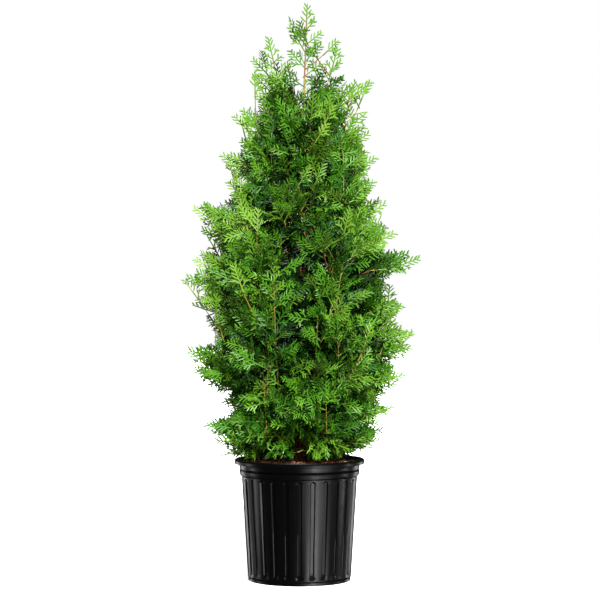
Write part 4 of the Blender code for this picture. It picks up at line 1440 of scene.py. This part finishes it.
def filling_twigs(branches, draw, settings):
    """Return the twigs and shoots between the branches, each with its sprays, end, bark and tips' slack."""
    stems = [branch_point(branch, share) for branch in branches for share in STEM_SHARES]
    twigs = [(twig, INNER_SLACK) for twig in trunk_twigs(draw, settings) + skirt_twigs(draw, settings)]
    twigs += [(twig, TIP_OUTLINE_SLACK) for twig in lobe_twigs(stems, draw, settings)]
    growth = [
        (twig, fine_sprays(twig, TWIG_BARE, draw, settings), TWIG_END, BROWN, slack) for twig, slack in twigs
    ]
    for number in range(settings.long_shoots):
        shoot = long_shoot(number, stems, draw, settings)
        growth.append((shoot, shoot_sprays(shoot, draw), STEM_END, TAN, INNER_SLACK))
    return growth


class Crown:
    """The crown's stems and twigs, each with its bark, and each tier's fronds, each with its green, which
    carries painted shade.
    """

    def __init__(self):
        self.wood = []
        self.leaves = {}

    def add_fronds(self, sprays, tier, tip_slack, tint_and_painted_shade, draw):
        """Add a frond for each spray, and the fine twig that carries it."""
        for spray in sprays:
            slack = tip_slack
            if spray.foot != spray.end:
                slack = SIDE_OUTLINE_SLACK
                self.wood.append((tube([spray.foot, spray.end], FINE_TWIG_RADII, spray.across, 3), GREEN))
            mesh = Frond(spray, draw).mesh(frond_leaves(spray.length, draw), slack)
            shade = painted_spray_shade(spray, draw.gauss(0, TINT_SCATTER) + tint_and_painted_shade)
            self.leaves.setdefault(tier, []).append((mesh, shade))

    def add_filling(self, branches, draw, settings):
        """Add the twigs and long shoots between the branches."""
        for twig, sprays, end, bark, slack in filling_twigs(branches, draw, settings):
            self.wood.append((twig_mesh(twig, end), bark))
            tier = [tier.name for tier in TIERS if tier.start <= max(twig.foot.z, TIERS[0].start)][-1]
            # Painted shade: the long shoots' fronds take darker greens
            self.add_fronds(sprays, tier, slack, SHOOT_SHADE if bark == TAN else 0.0, draw)

    def add_mass(self, own, branches, spaces, settings):
        """Add the stem of one mass, its side leaders, and its sprays by the source's rule and finer ones."""
        draw = random.Random(branches[own].seed + SEED * SEED)
        sprays = shortened(source_sprays(own, branches, spaces), settings)
        branch = cut_back(branches[own])
        leaders, fine = fine_growth(branch, draw, settings)
        radius = branch.radius * (LIMB_TIP_SHARE if branch.limb else 1.0)
        self.wood.append((stem_mesh(branch, branch.limb, STEM_END, radius, STEM_RINGS, STEM_SIDES), BROWN))
        self.wood += [(twig_mesh(leader, TWIG_END), TAN) for leader in leaders]
        slack = TIP_OUTLINE_SLACK if tier_name(branch) in CREST_TIERS else INNER_SLACK
        self.add_fronds(sprays + fine, tier_name(branch), slack, 0.0, draw)


def make_crown(settings):
    """Make every mass's stem, twigs and fronds, joined by tier into pieces."""
    branches = all_branches()
    spaces = Spaces(branches)
    greens = [shaded_scale_leaf(f"scale_leaf_{at + 1}", linear(green)) for at, green in enumerate(SHADED_LEAF_GREENS)]
    crown = Crown()
    crown.add_filling(branches, random.Random(SEED), settings)
    for own in range(len(branches)):
        crown.add_mass(own, branches, spaces, settings)
    barks = [
        twig_bark("bough_twig", settings.brown),
        twig_bark("tan_twig", settings.tan),
        twig_bark("green_twig", settings.green_twig),
    ]
    add_joined("twigs", crown.wood, barks, "bough_bark", sharp=70.0)
    for tier, fronds in crown.leaves.items():
        names = [f"foliage_{branch.name}" for branch in branches if tier_name(branch) == tier]
        for number, group in enumerate(piece_groups(fronds)):
            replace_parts(add_joined(f"leaves_{tier}_{number + 1}", group, greens, "foliage"), *names)


def add_joined(name, parts, materials, slot, sharp=None):
    """Make one piece of (mesh, material number) parts."""
    meshes, kinds = zip(*parts)
    return add_piece(name, *join_meshes(meshes), materials, slot, sharp, face_values(meshes, kinds))


def piece_groups(fronds):
    """Split a tier's fronds into groups of no more than PIECE_TRIANGLES triangles."""
    groups = [[]]
    total = 0
    for mesh, shade in fronds:
        if total + len(mesh[1]) > PIECE_TRIANGLES:
            groups.append([])
            total = 0
        groups[-1].append((mesh, shade))
        total += len(mesh[1])
    return groups


# Stage

FLOOR_HALF = 20.0
SENSOR_WIDTH = 36.0
# Distant soft lights on all but the pot: strength, angle across and turn, in degrees
SUNS = (
    ("key", 9.2, 5.0, (50.0, 0.0, 12.0)),
    ("fill", 0.9, 60.0, (58.0, 0.0, -50.0)),
    ("top", 1.1, 60.0, (12.0, 0.0, 0.0)),
    ("back", 0.8, 60.0, (50.0, 0.0, 180.0)),
)
FLOOR_SUN = ("floor_light", 2.4, 120.0, (0.0, 0.0, 0.0))
# Softboxes round the pot: azimuth from the viewer, distance, height, width, tallness and power
SOFTBOXES = (
    ("left_rim", -138.0, 2.2, -0.1, 0.40, 0.6, 3.2),
    ("right_rim", 138.0, 2.2, -0.1, 0.40, 0.6, 3.2),
    ("front_right", 36.0, 2.6, -0.6, 2.40, 1.2, 16.0),
    ("sheen", 31.0, 2.6, -0.6, 0.30, 1.2, 12.0),
    ("right", 96.0, 2.6, -0.1, 0.12, 0.6, 3.0),
    ("left", -100.0, 2.6, -0.1, 0.12, 0.6, 3.5),
    ("above", 0.0, 0.4, 2.6, 1.00, 1.0, 25.0),
)


def add_object(name, data):
    """Add an object with its data to the scene."""
    made = bpy.data.objects.new(name, data)
    bpy.context.scene.collection.objects.link(made)
    return made


def make_floor():
    """Make the white floor, which shows but sends no light back to the plant."""
    mesh = bpy.data.meshes.new("floor")
    corners = [(x * FLOOR_HALF, y * FLOOR_HALF, 0.0) for x, y in ((-1, -1), (1, -1), (1, 1), (-1, 1))]
    mesh.from_pydata(corners, [], [(0, 1, 2, 3)])
    mesh.materials.append(principled("white_floor", linear("#f4f4f4"), 0.9)[0])
    floor = add_object("floor", mesh)
    floor.visible_glossy = False
    floor.visible_diffuse = False
    return floor


def linked_collection(name, piece, state):
    """Return a collection through which a light shines on one piece alone, or on all but that piece."""
    collection = bpy.data.collections.new(name)
    collection.objects.link(piece)
    collection.collection_objects[0].light_linking.link_state = state
    return collection


def add_sun(name, strength, angle, turn, receivers):
    """Add a distant soft light; only the key light shows in the leaves' sheen."""
    light = bpy.data.lights.new(name, "SUN")
    light.energy = strength
    light.angle = math.radians(angle)
    lamp = add_object(name, light)
    lamp.rotation_euler = tuple(math.radians(a) for a in turn)
    lamp.visible_glossy = name == "key"
    lamp.light_linking.receiver_collection = receivers


def add_softbox(name, azimuth, distance, height, width, tallness, power, receivers):
    """Add a softbox that faces the pot, and that only the pot blocks."""
    light = bpy.data.lights.new(name, "AREA")
    light.shape = "RECTANGLE"
    light.size = width
    light.size_y = tallness
    light.energy = power
    lamp = add_object(name, light)
    lamp.location = outward_at(FRONT + math.radians(azimuth)) * distance + UP * height
    lamp.rotation_euler = (UP * (POT_HEIGHT / 2) - lamp.location).to_track_quat("-Z", "Y").to_euler()
    lamp.visible_camera = False
    lamp.light_linking.receiver_collection = receivers
    lamp.light_linking.blocker_collection = receivers


def add_world(settings):
    """Light the plant evenly from a surround that shows as white behind it and dark in its sheen."""
    world = bpy.data.worlds.new("studio")
    world.use_nodes = True
    tree = world.node_tree
    tree.nodes.clear()
    path = add_node(tree, "ShaderNodeLightPath").outputs
    strengths = {"A": settings.ambient, "B": settings.reflected}
    surround = add_node(tree, "ShaderNodeMix", strengths, {"Factor": path["Is Glossy Ray"]})
    links = {"Factor": path["Is Camera Ray"], "A": surround.outputs["Result"]}
    strength = add_node(tree, "ShaderNodeMix", {"B": 1.0}, links)
    links = {"Strength": strength.outputs["Result"]}
    shown = add_node(tree, "ShaderNodeBackground", {"Color": linear("#ffffff")}, links)
    add_node(tree, "ShaderNodeOutputWorld", links={"Surface": shown.outputs["Background"]})
    bpy.context.scene.world = world


def make_stage(settings):
    """Make the floor, the soft studio light and the camera at the photograph's viewing angle."""
    floor = make_floor()
    add_world(settings)
    pot = bpy.data.objects["nursery_pot"]
    only_pot = linked_collection("only_pot", pot, "INCLUDE")
    no_pot = linked_collection("no_pot", pot, "EXCLUDE")
    for sun in SUNS:
        add_sun(*sun, no_pot)
    add_sun(*FLOOR_SUN, linked_collection("only_floor", floor, "INCLUDE"))
    for softbox in SOFTBOXES:
        add_softbox(*softbox, only_pot)
    lens = bpy.data.cameras.new("camera")
    lens.sensor_width = SENSOR_WIDTH
    lens.lens = settings.focal_pixels / settings.frame_pixels * SENSOR_WIDTH
    camera = add_object("camera", lens)
    camera.location = (settings.camera_right, -settings.camera_distance, settings.camera_height)
    camera.rotation_euler = (math.pi / 2, 0.0, 0.0)
    bpy.context.scene.camera = camera
    bpy.context.scene.view_settings.view_transform = "Standard"


# Settings

def count_setting(name, description, default, least=0):
    """Return a property for a number of things."""
    return IntProperty(name=name, description=description, default=default, min=least)


def share_setting(name, description, default):
    """Return a property for a plain number."""
    return FloatProperty(name=name, description=description, default=default)


def length_setting(name, description, default):
    """Return a property for a length in metres."""
    return FloatProperty(name=name, description=description, default=default, unit="LENGTH", precision=4)


def range_setting(name, description, *ends):
    """Return a property for the shortest and the longest of a range of lengths."""
    units = {"size": 2, "unit": "LENGTH", "precision": 4}
    return FloatVectorProperty(name=name, description=description, default=ends, **units)


def colour_setting(name, description, hex_colour):
    """Return a property for a colour."""
    units = {"size": 4, "subtype": "COLOR", "min": 0.0, "max": 1.0}
    return FloatVectorProperty(name=name, description=description, default=linear(hex_colour), **units)


class PotSettings(bpy.types.PropertyGroup):
    """Sizes and finish of the pot."""

    channels: count_setting("Channels", "Upright channels round the wall", 27, 6)
    channel_width: length_setting("Channel Width", "Width of a channel", 0.011)
    channel_depth: length_setting("Channel Depth", "Depth of a channel", 0.0030)
    colour: colour_setting("Colour", "Colour of the plastic", "#0b0b0c")
    roughness: share_setting("Roughness", "Roughness of the moulded skin", 0.30)


class MulchSettings(bpy.types.PropertyGroup):
    """Chips and browns of the mulch."""

    chips: count_setting("Chips", "Number of bark chips on the mulch", 1100)
    dark: colour_setting("Dark", "Damp mulch in the gaps", "#2a1912")
    brown: colour_setting("Brown", "Most chips", "#5b3626")
    red: colour_setting("Red", "Reddish chips", "#6f3a28")
    tan: colour_setting("Tan", "Torn fibres", "#9a6a4e")
    pale: colour_setting("Pale", "Fresh wood on a few chips", "#c39a7c")


class BarkSettings(bpy.types.PropertyGroup):
    """Relief and colours of the bark."""

    relief: length_setting("Relief", "Depth of the stringy relief on the trunk", 0.0011)
    trunk_sides: count_setting("Trunk Sides", "Corners round the trunk", 36, 8)
    trunk_stations: count_setting("Trunk Stations", "Rings up the trunk", 480, 20)
    bough_sides: count_setting("Bough Sides", "Corners round a bough", 12, 5)
    brown: colour_setting("Brown", "Reddish brown older bark", "#6a4026")
    tan: colour_setting("Tan", "Raised strings", "#a8703f")
    young: colour_setting("Young", "Bark near the top", "#8f7a35")


class CrownSettings(bpy.types.PropertyGroup):
    """Spacing and lengths of the finer twigs, and the colours of twigs."""

    twig_pitch: length_setting("Twig Pitch", "Spacing of fine twigs along a branch", 0.0118)
    bare_foot: length_setting("Bare Foot", "Bare length of a branch at the trunk", 0.03)
    fine_twig: range_setting("Fine Twig", "Shortest and longest fine twig", 0.006, 0.026)
    fine_spray: range_setting("Fine Spray", "Shortest and longest fine spray", 0.040, 0.125)
    fine_inset: range_setting("Fine Inset", "Least and most depth in the outline", 0.004, 0.042)
    fine_tries: count_setting("Fine Tries", "Draws before a fine spray is skipped", 5, 1)
    fine_shorter: share_setting("Fine Shorter", "Share of length kept when it is too long", 0.86)
    leader_length: range_setting("Leader Length", "Shortest and longest side leader", 0.09, 0.30)
    leader_pitch: length_setting("Leader Pitch", "Spacing of side leaders along a branch", 0.060)
    leader_inset: range_setting("Leader Inset", "Least and most depth of a side leader's tip", 0.002, 0.040)
    leader_radius: length_setting("Leader Radius", "Radius of a side leader at its foot", 0.0015)
    long_shoots: count_setting("Long Shoots", "Upright shoots round the crown", 13)
    shoot_length: range_setting("Shoot Length", "Least and most height of a long shoot", 0.24, 0.38)
    lobe_top: length_setting("Lobe Top", "Height up to which twigs run to the tips", 1.17)
    lobe_length: range_setting("Lobe Length", "Shortest and longest straight run of such a twig", 0.11, 0.15)
    skirt_twigs: count_setting("Skirt Twigs", "Low twigs over the rim", 48)
    skirt_foot: range_setting("Skirt Foot", "Least and most height of their feet", 0.009, 0.060)
    skirt_reach: range_setting("Skirt Reach", "Shortest and longest reach of a low twig", 0.115, 0.180)
    skirt_rise: range_setting("Skirt Rise", "Least and most height of a low twig's tip", 0.000, 0.140)
    trunk_bare: length_setting("Trunk Bare", "Bare height of the trunk", 0.012)
    trunk_twig_top: length_setting("Trunk Twig Top", "Height of the topmost trunk twig", 1.02)
    trunk_twig_pitch: length_setting("Trunk Twig Pitch", "Spacing of twigs up the trunk", 0.0075)
    trunk_twig_rise: range_setting("Trunk Twig Rise", "Least and most rise for its reach", 0.15, 1.4)
    brown: colour_setting("Brown", "Bark of the inner twigs", "#7c4a2a")
    tan: colour_setting("Tan", "Bark of the stems", "#8e7232")
    green_twig: colour_setting("Green", "Bark of the youngest twigs", "#7e8f35")


class StageSettings(bpy.types.PropertyGroup):
    """Camera and surround."""

    camera_height: length_setting("Camera Height", "Height of the level camera", 0.59)
    camera_distance: length_setting("Camera Distance", "Distance of the camera from the trunk", 4.13)
    camera_right: length_setting("Camera Right", "Distance of the camera to the right of the trunk", 0.0011)
    focal_pixels: share_setting("Focal Length", "Focal length in pixels of the frame", 1955.0)
    frame_pixels: share_setting("Frame Width", "Width of the frame in pixels", 600.0)
    ambient: share_setting("Ambient", "Strength of the even light", 0.46)
    reflected: share_setting("Reflected", "Strength of the surround in the sheen", 0.02)


# Operators

class PLANT_OT_pot(bpy.types.Operator):
    """Make the moulded pot."""

    bl_idname = "plant.pot"
    bl_label = "Pot"

    def execute(self, context):
        make_pot(context.scene.plant_pot)
        return {"FINISHED"}


class PLANT_OT_mulch(bpy.types.Operator):
    """Make the mulch and its chips."""

    bl_idname = "plant.mulch"
    bl_label = "Mulch"

    def execute(self, context):
        settings = context.scene.plant_mulch
        make_chips(settings, make_mulch(settings))
        return {"FINISHED"}


class PLANT_OT_bark(bpy.types.Operator):
    """Make the trunk and the boughs with the bark's relief."""

    bl_idname = "plant.bark"
    bl_label = "Trunk and Boughs"

    def execute(self, context):
        settings = context.scene.plant_bark
        bark = stringy_bark(settings)
        make_trunk(settings, bark)
        make_boughs(settings, bark)
        return {"FINISHED"}


class PLANT_OT_crown(bpy.types.Operator):
    """Make the stems, twigs and fronds of the crown."""

    bl_idname = "plant.crown"
    bl_label = "Crown"

    def execute(self, context):
        make_crown(context.scene.plant_crown)
        return {"FINISHED"}


class PLANT_OT_stage(bpy.types.Operator):
    """Make the floor, the lights and the camera."""

    bl_idname = "plant.stage"
    bl_label = "Stage"

    def execute(self, context):
        make_stage(context.scene.plant_stage)
        return {"FINISHED"}


class PLANT_PT_panel(bpy.types.Panel):
    """Sidebar panel with the settings and the steps."""

    bl_label = "Potted Arborvitae"
    bl_idname = "PLANT_PT_panel"
    bl_space_type = "VIEW_3D"
    bl_region_type = "UI"
    bl_category = "Arborvitae"

    def draw(self, context):
        for operator, group_name, _ in STEPS:
            box = self.layout.box()
            group = getattr(context.scene, group_name)
            for name in group.bl_rna.properties.keys():
                if name not in ("rna_type", "name"):
                    box.prop(group, name)
            box.operator(operator.bl_idname)


STEPS = (
    (PLANT_OT_pot, "plant_pot", PotSettings),
    (PLANT_OT_mulch, "plant_mulch", MulchSettings),
    (PLANT_OT_bark, "plant_bark", BarkSettings),
    (PLANT_OT_crown, "plant_crown", CrownSettings),
    (PLANT_OT_stage, "plant_stage", StageSettings),
)


def register():
    """Register the settings, the steps and the panel."""
    for operator, group_name, group in STEPS:
        bpy.utils.register_class(group)
        setattr(bpy.types.Scene, group_name, PointerProperty(type=group))
        bpy.utils.register_class(operator)
    bpy.utils.register_class(PLANT_PT_panel)


def unregister():
    """Remove what register added."""
    bpy.utils.unregister_class(PLANT_PT_panel)
    for operator, group_name, group in reversed(STEPS):
        bpy.utils.unregister_class(operator)
        delattr(bpy.types.Scene, group_name)
        bpy.utils.unregister_class(group)


def main():
    """Build the potted plant and its stage."""
    register()
    bpy.ops.plant.pot()
    bpy.ops.plant.mulch()
    bpy.ops.plant.bark()
    bpy.ops.plant.crown()
    bpy.ops.plant.stage()


if __name__ == "__main__":
    main()
